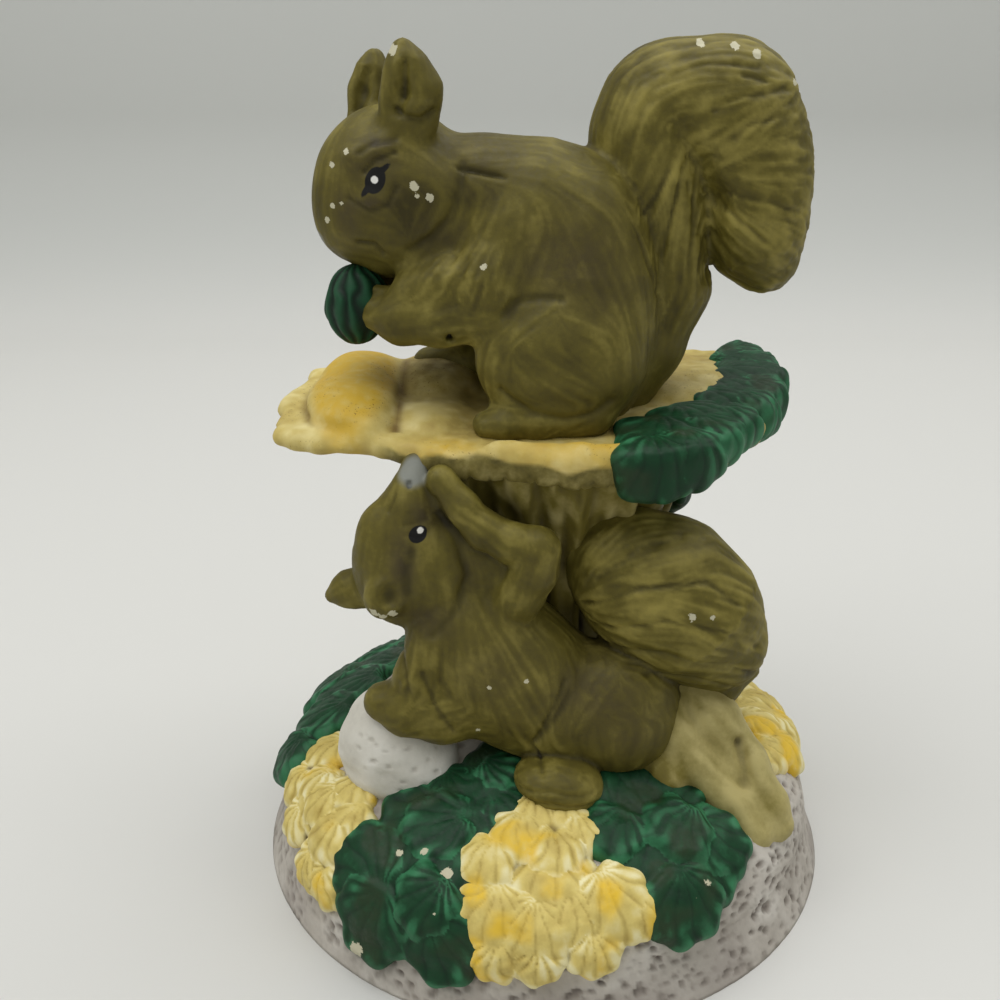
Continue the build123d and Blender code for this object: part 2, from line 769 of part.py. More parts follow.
back_left_shares = [
    (142, 0.84), (168, 0.84), (-177, 0.95), (134, 0.70), (155, 0.94), (153, 0.76),
]
with BuildPart() as green_leaves_back_left:
    add(seated(
        cluster([on_mound(*row) for row in back_left_shares], green_leaf_radius),
        mound_solid, stump_trunk.part, stump_root_back_left.part,
    ))
save(green_leaves_back_left, "green_leaves_back_left")

back_shares = [(62, 0.80), (76, 0.90), (50, 0.92), (66, 0.62)]
with BuildPart() as green_leaves_back:
    add(seated(
        cluster([on_mound(*row) for row in back_shares], green_leaf_radius),
        mound_solid, stump_trunk.part,
    ))
save(green_leaves_back, "green_leaves_back")

yellow_left_shares = [
    (-162, 0.80), (-157, 0.92), (-144, 0.90), (-143, 0.985), (-150, 0.80), (-168, 0.95),
]
with BuildPart() as yellow_leaves_left:
    add(seated(
        cluster([on_mound(*row) for row in yellow_left_shares], yellow_leaf_radius),
        mound_solid, white_stone.part, green_leaves_back_left.part, green_leaves_front_left.part,
    ))
save(yellow_leaves_left, "yellow_leaves_left")

yellow_front_shares = [
    (-89, 0.76), (-97, 0.86), (-101, 0.95), (-92, 0.965), (-80, 0.88), (-78, 0.97), (-71, 0.90),
]
with BuildPart() as yellow_leaves_front:
    add(seated(
        cluster([on_mound(*row) for row in yellow_front_shares], yellow_leaf_radius),
        mound_solid, green_leaves_front_left.part, green_leaves_front_right.part, lower_foot.part,
    ))
save(yellow_leaves_front, "yellow_leaves_front")

yellow_right_shares = [
    (-9, 0.82), (4, 0.88), (14, 0.82), (0, 0.72), (22, 0.90), (32, 0.86),
]
with BuildPart() as yellow_leaves_right:
    add(seated(
        cluster([on_mound(*row) for row in yellow_right_shares], yellow_leaf_radius),
        mound_solid, green_leaves_back.part,
    ))
save(yellow_leaves_right, "yellow_leaves_right")

yellow_back_shares = [
    (92, 0.80), (103, 0.86), (97, 0.94), (112, 0.92), (114, 0.80), (86, 0.92),
]
with BuildPart() as yellow_leaves_back:
    add(seated(
        cluster([on_mound(*row) for row in yellow_back_shares], yellow_leaf_radius),
        mound_solid, green_leaves_back.part, green_leaves_back_left.part,
    ))
save(yellow_leaves_back, "yellow_leaves_back")

# Ledge leaves: length and depth shares, drop share, turn and dip of each lobe
ledge_front_shares = [
    (0.22, -0.72, 0.0, -85, 18), (0.36, -0.58, 0.0, -60, 15), (0.50, -0.33, 0.0, -50, 12),
    (0.29, -0.82, 0.2, -75, 40), (0.42, -0.66, 0.2, -60, 38),
]
ledge_end_shares = [
    (0.65, 0.02, 0.0, -45, 12), (0.75, 0.32, 0.0, -25, 14), (0.76, 0.64, 0.0, 5, 14),
    (0.71, -0.02, 0.2, -50, 34), (0.80, 0.34, 0.2, -15, 34),
]
hanging_leaf_centre = Vector(
    trunk_x + trunk_waist_radius + hanging_leaf_stand,
    trunk_y + hanging_leaf_width / 2,
    ledge_height - ledge_thickness - hanging_leaf_height / 2,
)
with BuildPart() as ledge_leaves_front:
    add(seated(
        lenses([on_ledge(*row) for row in ledge_front_shares], green_leaf_radius),
        ledge_slab.part, stump_trunk.part, lower_tail.part, upper_tail.part,
    ))
save(ledge_leaves_front, "ledge_leaves_front")

with BuildPart() as ledge_leaves_end:
    add(seated(
        lenses([on_ledge(*row) for row in ledge_end_shares], green_leaf_radius),
        ledge_slab.part, ledge_leaves_front.part, stump_trunk.part,
    ))
save(ledge_leaves_end, "ledge_leaves_end")

with BuildPart() as ledge_leaf_hanging:
    add(seated(
        lump(hanging_leaf_centre, hanging_leaf_length, hanging_leaf_width, hanging_leaf_height),
        ledge_slab.part, stump_trunk.part, lower_tail.part, ledge_leaves_front.part, ledge_leaves_end.part,
    ))
save(ledge_leaf_hanging, "ledge_leaf_hanging")
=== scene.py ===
import json
import math
import bpy
import numpy as np
import openvdb as vdb
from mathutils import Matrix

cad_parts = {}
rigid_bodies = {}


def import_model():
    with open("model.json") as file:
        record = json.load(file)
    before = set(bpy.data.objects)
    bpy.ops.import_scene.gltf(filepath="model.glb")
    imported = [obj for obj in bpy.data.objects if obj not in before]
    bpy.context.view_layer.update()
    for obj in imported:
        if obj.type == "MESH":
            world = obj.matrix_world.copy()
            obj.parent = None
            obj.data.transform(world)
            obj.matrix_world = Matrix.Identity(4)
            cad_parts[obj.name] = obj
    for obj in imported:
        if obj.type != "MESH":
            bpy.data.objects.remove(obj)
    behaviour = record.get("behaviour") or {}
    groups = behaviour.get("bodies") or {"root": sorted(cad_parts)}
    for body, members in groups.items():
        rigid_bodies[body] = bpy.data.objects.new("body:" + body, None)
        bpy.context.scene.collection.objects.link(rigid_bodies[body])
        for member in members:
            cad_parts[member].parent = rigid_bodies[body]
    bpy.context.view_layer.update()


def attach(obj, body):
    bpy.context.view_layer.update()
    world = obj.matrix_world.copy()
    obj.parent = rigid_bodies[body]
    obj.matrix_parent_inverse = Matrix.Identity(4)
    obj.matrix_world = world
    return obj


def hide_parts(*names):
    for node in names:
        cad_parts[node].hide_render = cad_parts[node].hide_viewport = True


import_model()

MM = 0.001
BAND = 3.0
rng = np.random.default_rng(11)
LATTICE = rng.uniform(-1.0, 1.0, (64, 64, 64)).astype(np.float32)


# ---- modelling clay: distance fields in millimetres on a regular grid ----

def smooth_min(a, b, k):
    h = np.maximum(k - np.abs(a - b), 0.0) / k
    return np.minimum(a, b) - h * h * k * 0.25


class Clay:
    def __init__(self, low, high, step):
        step = step * 1.0
        self.low, self.step = np.array(low, float), step
        self.count = np.ceil((np.array(high, float) - self.low) / step).astype(int) + 1
        self.f = np.full(self.count, BAND * 3, np.float32)

    def part(self, low, high):
        """Slices of the grid over a box, and open coordinate arrays there."""
        a = np.clip(np.floor((np.array(low) - self.low) / self.step).astype(int), 0, self.count)
        b = np.clip(np.ceil((np.array(high) - self.low) / self.step).astype(int) + 1, 0, self.count)
        cut = tuple(slice(i, j) for i, j in zip(a, b))
        axes = []
        for n in range(3):
            line = self.low[n] + self.step * np.arange(a[n], b[n], dtype=np.float32)
            axes.append(line.astype(np.float32).reshape([-1 if m == n else 1 for m in range(3)]))
        return cut, axes

    def put(self, cut, d, k, carve):
        if d.size == 0:
            return
        old = self.f[cut]
        if carve:
            self.f[cut] = -smooth_min(-old, d, k)
        else:
            self.f[cut] = smooth_min(old, d, k)

    def blob(self, centre, radii, k=2.0, yaw=0.0, pitch=0.0, roll=0.0, carve=False):
        """An ellipsoid: pitch turns it in the XZ plane, yaw about Z, roll about its own X."""
        centre, radii = np.array(centre, float), np.array(radii, float)
        reach = radii.max() + k + BAND
        cut, (x, y, z) = self.part(centre - reach, centre + reach)
        x, y, z = x - centre[0], y - centre[1], z - centre[2]
        a, b, c = math.radians(yaw), math.radians(pitch), math.radians(roll)
        x, y = x * math.cos(a) + y * math.sin(a), y * math.cos(a) - x * math.sin(a)
        x, z = x * math.cos(b) + z * math.sin(b), z * math.cos(b) - x * math.sin(b)
        y, z = y * math.cos(c) + z * math.sin(c), z * math.cos(c) - y * math.sin(c)
        p, q, r = x / radii[0], y / radii[1], z / radii[2]
        near = np.sqrt(p * p + q * q + r * r) + 1e-6
        p, q, r = p / radii[0], q / radii[1], r / radii[2]
        d = near * (near - 1.0) / (np.sqrt(p * p + q * q + r * r) + 1e-6)
        self.put(cut, d, k, carve)

    def limb(self, rows, k=2.0, inner=1.5, carve=False):
        """A tube through stations of x, y, z, half size in the XZ plane and half size along Y."""
        rows = np.array(rows, float)
        reach = rows[:, 3:].max() + k + BAND
        cut, (x, y, z) = self.part(rows[:, :3].min(0) - reach, rows[:, :3].max(0) + reach)
        total = None
        for (ax, ay, az, ar, ad), (bx, by, bz, br, bd) in zip(rows[:-1], rows[1:]):
            s = (ar / ad + br / bd) / 2
            ux, uy, uz = bx - ax, (by - ay) * s, bz - az
            px, py, pz = x - ax, (y - ay) * s, z - az
            t = np.clip((px * ux + py * uy + pz * uz) / (ux * ux + uy * uy + uz * uz), 0, 1)
            d = np.sqrt((px - t * ux) ** 2 + (py - t * uy) ** 2 + (pz - t * uz) ** 2)
            d = (d - (ar + (br - ar) * t)) / max(s, 1.0)
            total = d if total is None else smooth_min(total, d, inner)
        if total is not None:
            self.put(cut, total, k, carve)

    def smeared(self, reach):
        """The field averaged over a box: low in creases and high on edges."""
        n = max(1, int(round(reach / self.step)))
        g = np.clip(self.f, -BAND, BAND).astype(np.float64)
        for axis in range(3):
            pad = [(n + 1, n) if a == axis else (0, 0) for a in range(3)]
            total = np.cumsum(np.pad(g, pad, mode="edge"), axis=axis)
            width = 2 * n + 1
            upper = [slice(None)] * 3
            lower = [slice(None)] * 3
            upper[axis], lower[axis] = slice(width, None), slice(0, -width)
            g = (total[tuple(upper)] - total[tuple(lower)]) / width
        return g.astype(np.float32)

    def sample(self, values, points):
        q = np.clip((points - self.low) / self.step, 0, self.count - 1.001)
        i = np.floor(q).astype(int)
        t = q - i
        out = 0.0
        for corner in range(8):
            o = [(corner >> b) & 1 for b in range(3)]
            w = np.prod([t[:, b] if o[b] else 1 - t[:, b] for b in range(3)], axis=0)
            out = out + w * values[i[:, 0] + o[0], i[:, 1] + o[1], i[:, 2] + o[2]]
        return out

    def surface(self):
        grid = vdb.FloatGrid(BAND)
        grid.copyFromArray(np.ascontiguousarray(np.clip(self.f, -BAND, BAND)))
        points, triangles, quads = grid.convertToPolygons(isovalue=0.0, adaptivity=0.0)
        points = points * self.step + self.low
        return points, quads, triangles


def noise(p, size):
    q = p / size
    i = np.floor(q).astype(int)
    t = q - i
    t = t * t * (3 - 2 * t)
    out = 0.0
    for corner in range(8):
        o = [(corner >> b) & 1 for b in range(3)]
        w = 1.0
        for b in range(3):
            w = w * (t[:, b] if o[b] else 1 - t[:, b])
        out = out + w * LATTICE[(i[:, 0] + o[0]) & 63, (i[:, 1] + o[1]) & 63, (i[:, 2] + o[2]) & 63]
    return out


def cells(p, size):
    """Distance to the nearest of scattered points, as a share of their spacing."""
    q = p / size
    base = np.floor(q).astype(int)
    best = np.full(len(p), 9.0)
    for n in range(27):
        i = base + np.array([n % 3 - 1, n // 3 % 3 - 1, n // 9 - 1])
        a, b, c = i[:, 0] & 63, i[:, 1] & 63, i[:, 2] & 63
        seed = np.stack([LATTICE[a, b, c], LATTICE[b, c, a], LATTICE[c, a, b]], axis=1) * 0.42 + 0.5
        best = np.minimum(best, np.linalg.norm(i + seed - q, axis=1))
    return best


def to_path(p, path):
    """Distance in the XZ plane to a line through points of x and z."""
    best = np.full(len(p), 1e3)
    for (ax, az), (bx, bz) in zip(path[:-1], path[1:]):
        u = np.array([bx - ax, bz - az])
        w = p[:, [0, 2]] - (ax, az)
        t = np.clip(w @ u / (u @ u), 0, 1)
        best = np.minimum(best, np.linalg.norm(w - t[:, None] * u, axis=1))
    return best


def combed(p, normal, combs, size, steps=7, stride=0.7):
    """Noise smeared along combed directions, tangent to the surface."""
    starts = np.array([c[0] for c in combs], float)
    ends = np.array([c[1] for c in combs], float)
    along = ends - starts
    lengths = np.linalg.norm(along, axis=1)

    def flow(q):
        total = np.zeros((len(q), 3))
        for s, u, length in zip(starts, along, lengths):
            w = q[:, [0, 2]] - s
            t = np.clip(w @ u / (u @ u), 0, 1)
            far = ((w - t[:, None] * u) ** 2).sum(1)
            weight = 1.0 / (far + 2.0) ** 2
            total[:, 0] += weight * u[0] / length
            total[:, 2] += weight * u[1] / length
        total -= normal * (total * normal).sum(1)[:, None]
        return total / (np.linalg.norm(total, axis=1)[:, None] + 1e-9)

    total = noise(p, size)
    for sign in (-1.0, 1.0):
        q = p.copy()
        for _ in range(steps):
            q = q + flow(q) * (sign * stride)
            total = total + noise(q, size)
    total = total / math.sqrt(2 * steps + 1)
    return np.clip(total * 1.25, -1, 1)


def smooth(a, b, v):
    t = np.clip((v - a) / (b - a), 0, 1)
    return t * t * (3 - 2 * t)


# ---- meshes ----

def build_mesh(name, points, quads, triangles=()):
    mesh = bpy.data.meshes.new(name)
    faces = [tuple(q) for q in quads.tolist()] + [tuple(t) for t in np.asarray(triangles).tolist()]
    mesh.from_pydata((points * MM).tolist(), [], faces)
    mesh.validate()
    mesh.update()
    mesh.shade_smooth()
    piece = bpy.data.objects.new(name, mesh)
    bpy.context.scene.collection.objects.link(piece)
    return piece


def normals_of(piece):
    out = np.zeros(len(piece.data.vertices) * 3, np.float32)
    piece.data.vertices.foreach_get("normal", out)
    return out.reshape(-1, 3).astype(float)


def set_points(piece, points):
    piece.data.vertices.foreach_set("co", (points * MM).astype(np.float32).ravel())
    piece.data.update()


def attribute(piece, name, values):
    layer = piece.data.attributes.new(name, "FLOAT", "POINT")
    layer.data.foreach_set("value", np.asarray(values, np.float32))


def cast(name, clay):
    """The clay's surface as a mesh, with its points, outward normals and cavity measure."""
    points, quads, triangles = clay.surface()
    a, b, c = points[quads[:, 0]], points[quads[:, 1]], points[quads[:, 2]]
    middle = (a + c) / 2
    facing = np.cross(b - a, c - a)
    probe = 0.4 * facing / (np.linalg.norm(facing, axis=1)[:, None] + 1e-9)
    if (clay.sample(clay.f, middle + probe) - clay.sample(clay.f, middle - probe)).mean() < 0:
        quads = quads[:, ::-1]
        triangles = triangles[:, ::-1] if len(triangles) else triangles
    piece = build_mesh(name, points, quads, triangles)
    # cavity: below zero in creases and hollows, where the paint is darkened as dirt and painted shade
    cavity = clay.sample(clay.smeared(1.6), points) - clay.sample(clay.f, points)
    return piece, points, normals_of(piece), cavity


def own(piece, slot, *nodes):
    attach(piece, "root")
    if nodes:
        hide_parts(*nodes)


# ---- materials ----

class Paint:
    """A small builder of node materials."""

    def __init__(self, name, rough=0.6):
        self.material = bpy.data.materials.new(name)
        self.material.use_nodes = True
        self.tree = self.material.node_tree
        self.shader = self.tree.nodes["Principled BSDF"]
        self.shader.inputs["Roughness"].default_value = rough
        self.shader.inputs["Specular IOR Level"].default_value = 0.25
        self.place = self.tree.nodes.new("ShaderNodeTexCoord").outputs["Object"]

    def link(self, source, target):
        self.tree.links.new(source, target)

    def noise(self, size_mm, detail=3.0, rough=0.55, stretch=None):
        node = self.tree.nodes.new("ShaderNodeTexNoise")
        node.inputs["Scale"].default_value = 1000.0 / size_mm
        node.inputs["Detail"].default_value = detail
        node.inputs["Roughness"].default_value = rough
        place = self.place
        if stretch:
            mapping = self.tree.nodes.new("ShaderNodeMapping")
            mapping.inputs["Scale"].default_value = stretch
            self.link(place, mapping.inputs["Vector"])
            place = mapping.outputs["Vector"]
        self.link(place, node.inputs["Vector"])
        return node.outputs["Fac"]

    def attribute(self, name):
        node = self.tree.nodes.new("ShaderNodeAttribute")
        node.attribute_name = name
        return node.outputs["Fac"]

    def math(self, operation, a, b=None, clamp=False):
        node = self.tree.nodes.new("ShaderNodeMath")
        node.operation = operation
        node.use_clamp = clamp
        for socket, value in zip(node.inputs, (a, b)):
            if value is None:
                continue
            if isinstance(value, (int, float)):
                socket.default_value = value
            else:
                self.link(value, socket)
        return node.outputs["Value"]

    def band(self, source, low, high, out_low=0.0, out_high=1.0):
        node = self.tree.nodes.new("ShaderNodeMapRange")
        node.interpolation_type = "SMOOTHSTEP"
        for socket, value in zip(("From Min", "From Max", "To Min", "To Max"), (low, high, out_low, out_high)):
            node.inputs[socket].default_value = value
        self.link(source, node.inputs["Value"])
        return node.outputs["Result"]

    def ramp(self, source, stops):
        node = self.tree.nodes.new("ShaderNodeValToRGB")
        elements = node.color_ramp.elements
        while len(elements) < len(stops):
            elements.new(0.5)
        for element, (position, colour) in zip(elements, stops):
            element.position = position
            element.color = (*colour, 1.0)
        self.link(source, node.inputs["Fac"])
        return node.outputs["Color"]

    def mix(self, factor, a, b, kind="MIX"):
        node = self.tree.nodes.new("ShaderNodeMix")
        node.data_type = "RGBA"
        node.blend_type = kind
        if isinstance(factor, (int, float)):
            node.inputs[0].default_value = factor
        else:
            self.link(factor, node.inputs[0])
        for socket, value in ((node.inputs[6], a), (node.inputs[7], b)):
            if isinstance(value, tuple):
                socket.default_value = (*value, 1.0)
            else:
                self.link(value, socket)
        return node.outputs[2]

    def colour(self, source):
        self.link(source, self.shader.inputs["Base Color"])

    def rough(self, source):
        self.link(source, self.shader.inputs["Roughness"])

    def bump(self, source, strength, distance_mm):
        node = self.tree.nodes.new("ShaderNodeBump")
        node.inputs["Strength"].default_value = strength
        node.inputs["Distance"].default_value = distance_mm * MM
        self.link(source, node.inputs["Height"])
        self.link(node.outputs["Normal"], self.shader.inputs["Normal"])

    def on(self, piece):
        piece.data.materials.clear()
        piece.data.materials.append(self.material)


def srgb(r, g, b):
    return tuple((v / 12.92 if v <= 0.04045 else ((v + 0.055) / 1.055) ** 2.4) for v in (r / 255, g / 255, b / 255))


def painted(name, deep, base, light, crease=None, shade=None, chip=(192, 187, 160), rough=(0.5, 0.66), weights=(0.55, 0.30, 0.15)):
    """Matte paint: ridges lighter and grooves and crevices darker, partly paint and dirt and partly painted highlight
    and painted shade; soft sprayed patches, on the animals partly painted shadow; chips, dirt, black ink, a grey nose
    and a painted glint in the eye.
    """
    p = Paint(name)
    fine = p.noise(0.9, 4.0)
    broad = p.noise(9.0, 3.0)
    # tone from the relief attribute and noise; on the animals the relief holds paint strokes and painted shade
    tone_and_painted_light = p.math("MULTIPLY", p.attribute("relief"), weights[0])
    tone_and_painted_light = p.math("ADD", tone_and_painted_light, p.math("MULTIPLY", broad, weights[1]))
    tone_and_painted_light = p.math("ADD", tone_and_painted_light, p.math("MULTIPLY", fine, weights[2]))
    colour = p.ramp(tone_and_painted_light, [(0.25, srgb(*deep)), (0.5, srgb(*base)), (0.75, srgb(*light))])
    if shade:
        # sprayed patches of the shade colour; on the animals some are painted shadow under and between parts
        amount = p.math("MULTIPLY", p.attribute("shade"), p.band(p.noise(2.2, 5.0), 0.30, 0.62, 0.5, 1.0))
        colour = p.mix(amount, colour, srgb(*shade))
    # creases, hollows and pits take a darker colour: dirt and painted shade
    dirt_and_shade = srgb(*crease) if crease else tuple(v * 0.45 for v in srgb(*deep))
    amount = p.math("MULTIPLY", p.attribute("crease"), p.band(broad, 0.3, 0.6, 0.6, 1.0))
    colour = p.mix(amount, colour, dirt_and_shade)
    ragged = p.math("MULTIPLY", p.math("SUBTRACT", p.noise(0.9, 4.0, 0.7), 0.5), 1.7)
    chips = p.band(p.math("ADD", p.attribute("chip"), ragged), 0.62, 0.72)
    colour = p.mix(chips, colour, srgb(*chip))
    colour = p.mix(p.band(p.attribute("ink"), 0.4, 0.6), colour, srgb(16, 15, 14))
    # the white dot in the eye is a painted glint
    colour = p.mix(p.band(p.attribute("painted_glint"), 0.4, 0.6), colour, srgb(232, 230, 224))
    colour = p.mix(p.band(p.attribute("grey"), 0.3, 0.7), colour, srgb(128, 130, 122))
    p.colour(colour)
    p.rough(p.band(fine, 0.3, 0.7, *rough))
    grain = p.math("ADD", p.math("MULTIPLY", p.noise(0.45, 3.0), 0.5), fine)
    p.bump(grain, 0.30, 0.10)
    return p


OLIVE_DEEP, OLIVE, OLIVE_LIGHT = (58, 51, 16), (97, 88, 32), (146, 134, 66)
SPRAY_AND_SHADOW = (68, 59, 36)


# ---- animals ----

def glow(x, z, spots):
    """Soft oval patches in the XZ plane: x, z, half sizes and amount."""
    out = np.zeros(len(x))
    for cx, cz, rx, rz, amount in spots:
        out = np.maximum(out, amount * np.exp(-(((x - cx) / rx) ** 2 + ((z - cz) / rz) ** 2)))
    return out


def oval(x, z, cx, cz, rx, rz, tilt):
    """Half inside an oval's line, rising inwards by 1 a millimetre."""
    a = math.radians(tilt)
    u, v = (x - cx) * math.cos(a) + (z - cz) * math.sin(a), (z - cz) * math.cos(a) - (x - cx) * math.sin(a)
    return np.clip(0.5 + (1 - np.sqrt((u / rx) ** 2 + (v / rz) ** 2)) * min(rx, rz), -1, 1.5)


def animal(name, clay, combs, strength, near, light, lines, sprays_and_shadows, chips, eye, nodes):
    """Casts an animal, combs and engraves its fur, and paints it."""
    piece, p, n, cavity = cast(name, clay)
    x, y, z = p.T
    fur = combed(p, n, combs, 0.8)
    amount = strength(x, y, z)
    lift = fur * amount
    for path, width, depth in lines:
        lift -= depth * np.exp(-(to_path(p, path) / width) ** 2) * near(x, y, z)
    set_points(piece, p + n * lift[:, None])
    # relief: lighter paint on fur ridges, darker in the furrows, plus the light map, which on the upper squirrel is
    # painted shade on the cheek and the haunch
    attribute(piece, "relief", np.clip(0.48 + fur * (0.08 + 0.70 * amount) + 0.16 * noise(p, 3.6) + light(x, y, z), 0, 1))
    # crease: darker in crevices and along the engraved lines, dirt and painted shade
    attribute(piece, "crease", np.clip(smooth(-0.10, -0.60, cavity) + smooth(-0.12, -0.5, lift) * 0.5, 0, 1))
    # shade: airbrushed tint and painted shadow, from the sprays table
    attribute(piece, "shade", glow(x, z, sprays_and_shadows))
    chip = np.zeros(len(p))
    for cx, cz, r in chips:
        chip = np.maximum(chip, 1.3 * np.exp(-((x - cx) ** 2 + (z - cz) ** 2) / (r * r)) * smooth(1, -1, y - y.mean()))
    attribute(piece, "chip", chip)
    attribute(piece, "ink", np.maximum.reduce([oval(x, z, *eye[0])] + [oval(x, z, *hole) for hole in eye[3:]]))
    # a painted glint in the eye
    attribute(piece, "painted_glint", oval(x, z, *eye[1]))
    nose = eye[2]
    attribute(piece, "grey", np.exp(-((x - nose[0]) ** 2 + (z - nose[2]) ** 2) / nose[3] ** 2 - ((y - nose[1]) / 4) ** 2))
    painted(name + "_paint", OLIVE_DEEP, OLIVE, OLIVE_LIGHT, shade=SPRAY_AND_SHADOW).on(piece)
    own(piece, "fur_olive", *nodes)


UY = 3.0


def upper_squirrel():
    clay = Clay((-46, -19, 87), (50, 25, 157), 0.42)
    # torso, back and neck
    clay.limb([(3, 3, 92, 10, 12), (3.2, 3, 99, 14.6, 14.5), (3.0, 3, 107.5, 16.2, 15.2), (2.4, 3, 117, 16.0, 14.8), (2.6, 3, 123, 13.0, 12.6),
               (-4, 3, 126.6, 11.0, 12), (-12, 3, 129.4, 8.6, 10), (-20, 3, 131, 7.8, 8.6)], k=3, inner=4)
    # haunches, feet
    for y in (-8.5, 14.5):
        clay.blob((1.2, y, 102.2), (14.6, 8.4, 12.6), k=2.8, pitch=-8)
    clay.limb([(7, -10, 92.8, 4.0, 4.6), (-2, -10.8, 92.2, 3.7, 4.6), (-8, -11.2, 91.8, 3.1, 4.0), (-11.4, -11.4, 91.4, 2.4, 3.2)], k=2.4)
    clay.limb([(4, 15, 94, 4.5, 5), (-8, 16, 97, 5, 5), (-16, 16.5, 96.2, 4.4, 4.8), (-23, 16.5, 95, 3.2, 4.4)], k=1.4)
    # head, muzzle, cheeks
    clay.blob((-27.6, UY, 131.6), (12.6, 11.0, 12.2), k=2.2, yaw=8)
    clay.blob((-31.2, UY - 0.5, 124.2), (9.0, 8.0, 7.0), k=5, yaw=8)
    clay.blob((-33.6, UY - 0.5, 128), (7.0, 6.6, 9.4), k=4, yaw=8)
    clay.blob((-28, UY, 118), (5.6, 5.4, 3.6), k=3)
    clay.blob((-15.5, UY, 121), (6.5, 9.5, 6.5), k=4)
    for side in (-1, 1):
        clay.blob((-24.5, UY + side * 6.0, 127), (8.8, 5.6, 9.2), k=3)
        clay.blob((-30.2, UY + side * 9.2, 136.6), (4.4, 1.7, 1.5), k=2.4, pitch=16)
        clay.blob((-28.8, UY + side * 10.4, 129.0), (2.6, 1.2, 1.1), k=1.6, pitch=-12)
    # ears: a thick leaf with a hollow in front
    clay.limb([(-24.0, -3.4, 141.5, 5.0, 3.2), (-23.4, -4, 146, 4.5, 2.8), (-24.2, -4, 150, 2.7, 2.0), (-24.7, -3.8, 152.4, 1.0, 1.0)], k=1.2, inner=2)
    clay.limb([(-31.6, 9, 141, 4.2, 3.0), (-31.4, 10, 145.6, 3.5, 2.6), (-30.9, 10, 149.4, 2.2, 1.8), (-30.6, 10, 151, 0.9, 0.9)], k=1.2, inner=2)
    clay.limb([(-25.8, -7.2, 143.2, 1.5, 1.7), (-24.8, -7.4, 145.8, 1.3, 1.4), (-24.2, -7, 149.6, 0.5, 0.7)], k=1.0, carve=True)
    clay.limb([(-33.6, 7.0, 142.5, 0.9, 1.0), (-32.6, 7.0, 145.6, 1.0, 1.0), (-31.6, 7.6, 148.6, 0.5, 0.5)], k=1.2, carve=True)
    clay.blob((-22.0, -6.4, 143.4), (2.0, 1.2, 1.3), k=0.8, pitch=10)
    # arms
    for s in (-1, 1):
        arm = [(-7, 8.5, 122, 7.2, 5.4), (-10, 10.5, 115, 6.6, 5.4), (-11.2, 10.8, 110.6, 5.2, 4.6)]
        fore = [(-11.4, 10.6, 109.8, 4.6, 4.4), (-19, 10, 108.8, 4.3, 4.2), (-26, 8, 108.6, 4.2, 4.2), (-30.4, 6.0, 109.4, 3.3, 3.4)]
        for rows, k in ((arm, 2.6), (fore, 1.3)):
            clay.limb([(x, UY + s * y, z, a, b) for x, y, z, a, b in rows], k=k, inner=2)
        clay.limb([(-19, UY + s * 9, 115, 4.4, 4.2), (-24, UY + s * 8, 113.6, 3.6, 3.8)], k=3)
        for n, z in enumerate((112.6, 110.4, 108.2)):
            clay.limb([(-28.5, UY + s * 6.5, z, 1.5, 1.5), (-32.6, UY + s * (4.4 - n * 0.4), z + 0.4, 1.2, 1.2)], k=0.8)
    for x, z in ((-27.6, 108.6), (-17.6, 106.6)):
        clay.blob((x, UY - 13.6, z), (0.7, 1.4, 0.7), k=0.5, carve=True)
    # tail: stem and plume with the crease between them
    clay.limb([(15, 5, 93, 5, 6), (18, 5.4, 102, 6.4, 7), (21.4, 6, 112, 7.0, 7.4), (21.4, 6, 121, 7.4, 8), (18.2, 6, 130, 9.6, 8.8),
               (17.4, 6, 138, 10.0, 9), (19.8, 6, 142.6, 10.6, 9)], k=1.4, inner=4)
    clay.limb([(20, 6, 141.8, 11.4, 8.6), (29.0, 6, 140.8, 12.2, 9.4), (33.4, 6, 133, 10.7, 9.8), (35.2, 6, 125.6, 9.4, 9.2), (37.6, 6, 119.2, 6.4, 7.4),
               (39.2, 6, 115.8, 3.6, 5.0)], k=2.0, inner=5)
    for far in (False, True):
        crease = [(20.2, -6, 140.6, 1.0, 2.0), (23.6, -5.6, 134.6, 1.3, 2.6), (26.9, -4.6, 128.6, 1.4, 3.4), (27.6, -4, 122, 1.5, 4.4), (28.4, -2, 116, 1.6, 5)]
        clay.limb([(x, 12 - y if far else y, z, a, b) for x, y, z, a, b in crease], k=2.4, carve=True)
    return clay


UPPER_COMBS = [
    ((-38, 138), (-40, 124)), ((-22, 141), (-16, 132)), ((-20, 126), (-24, 119)), ((-30, 136), (-24, 134)), ((-34, 122), (-26, 121)),
    ((-24, 144), (-24, 152)), ((-31, 143), (-31, 150)),
    ((-13, 126), (-17, 117)), ((-9, 122), (-12, 112)), ((-3, 122), (-7, 112)), ((-17, 135), (-4, 136)), ((-2, 135), (10, 127)),
    ((11, 126), (17, 112)), ((18, 112), (16, 98)), ((2, 126), (8, 112)), ((0, 112), (-6, 108)), ((-10, 103), (-12, 97)),
    ((2, 112), (8, 110)), ((13, 108), (14, 100)), ((-4, 104), (6, 98)), ((10, 95), (0, 91)), ((-12, 110), (-27, 108)), ((-18, 93), (2, 93)),
    ((20, 101), (23, 112)), ((18.4, 113), (20.8, 128.8)), ((23, 115), (22.7, 131)), ((15.4, 126), (19.3, 133.2)), ((8, 137), (7.6, 144)),
    ((10, 149), (16, 153)), ((10, 141), (12, 147)), ((14, 148), (24, 152)), ((25.8, 143), (37.9, 146)), ((27.3, 136.4), (38.4, 143.9)),
    ((29.8, 129.6), (41.5, 126.4)), ((28.3, 127.7), (35.6, 122)), ((30, 121), (38, 116)), ((36, 134), (44, 134)), ((26, 150), (34, 149)),
]


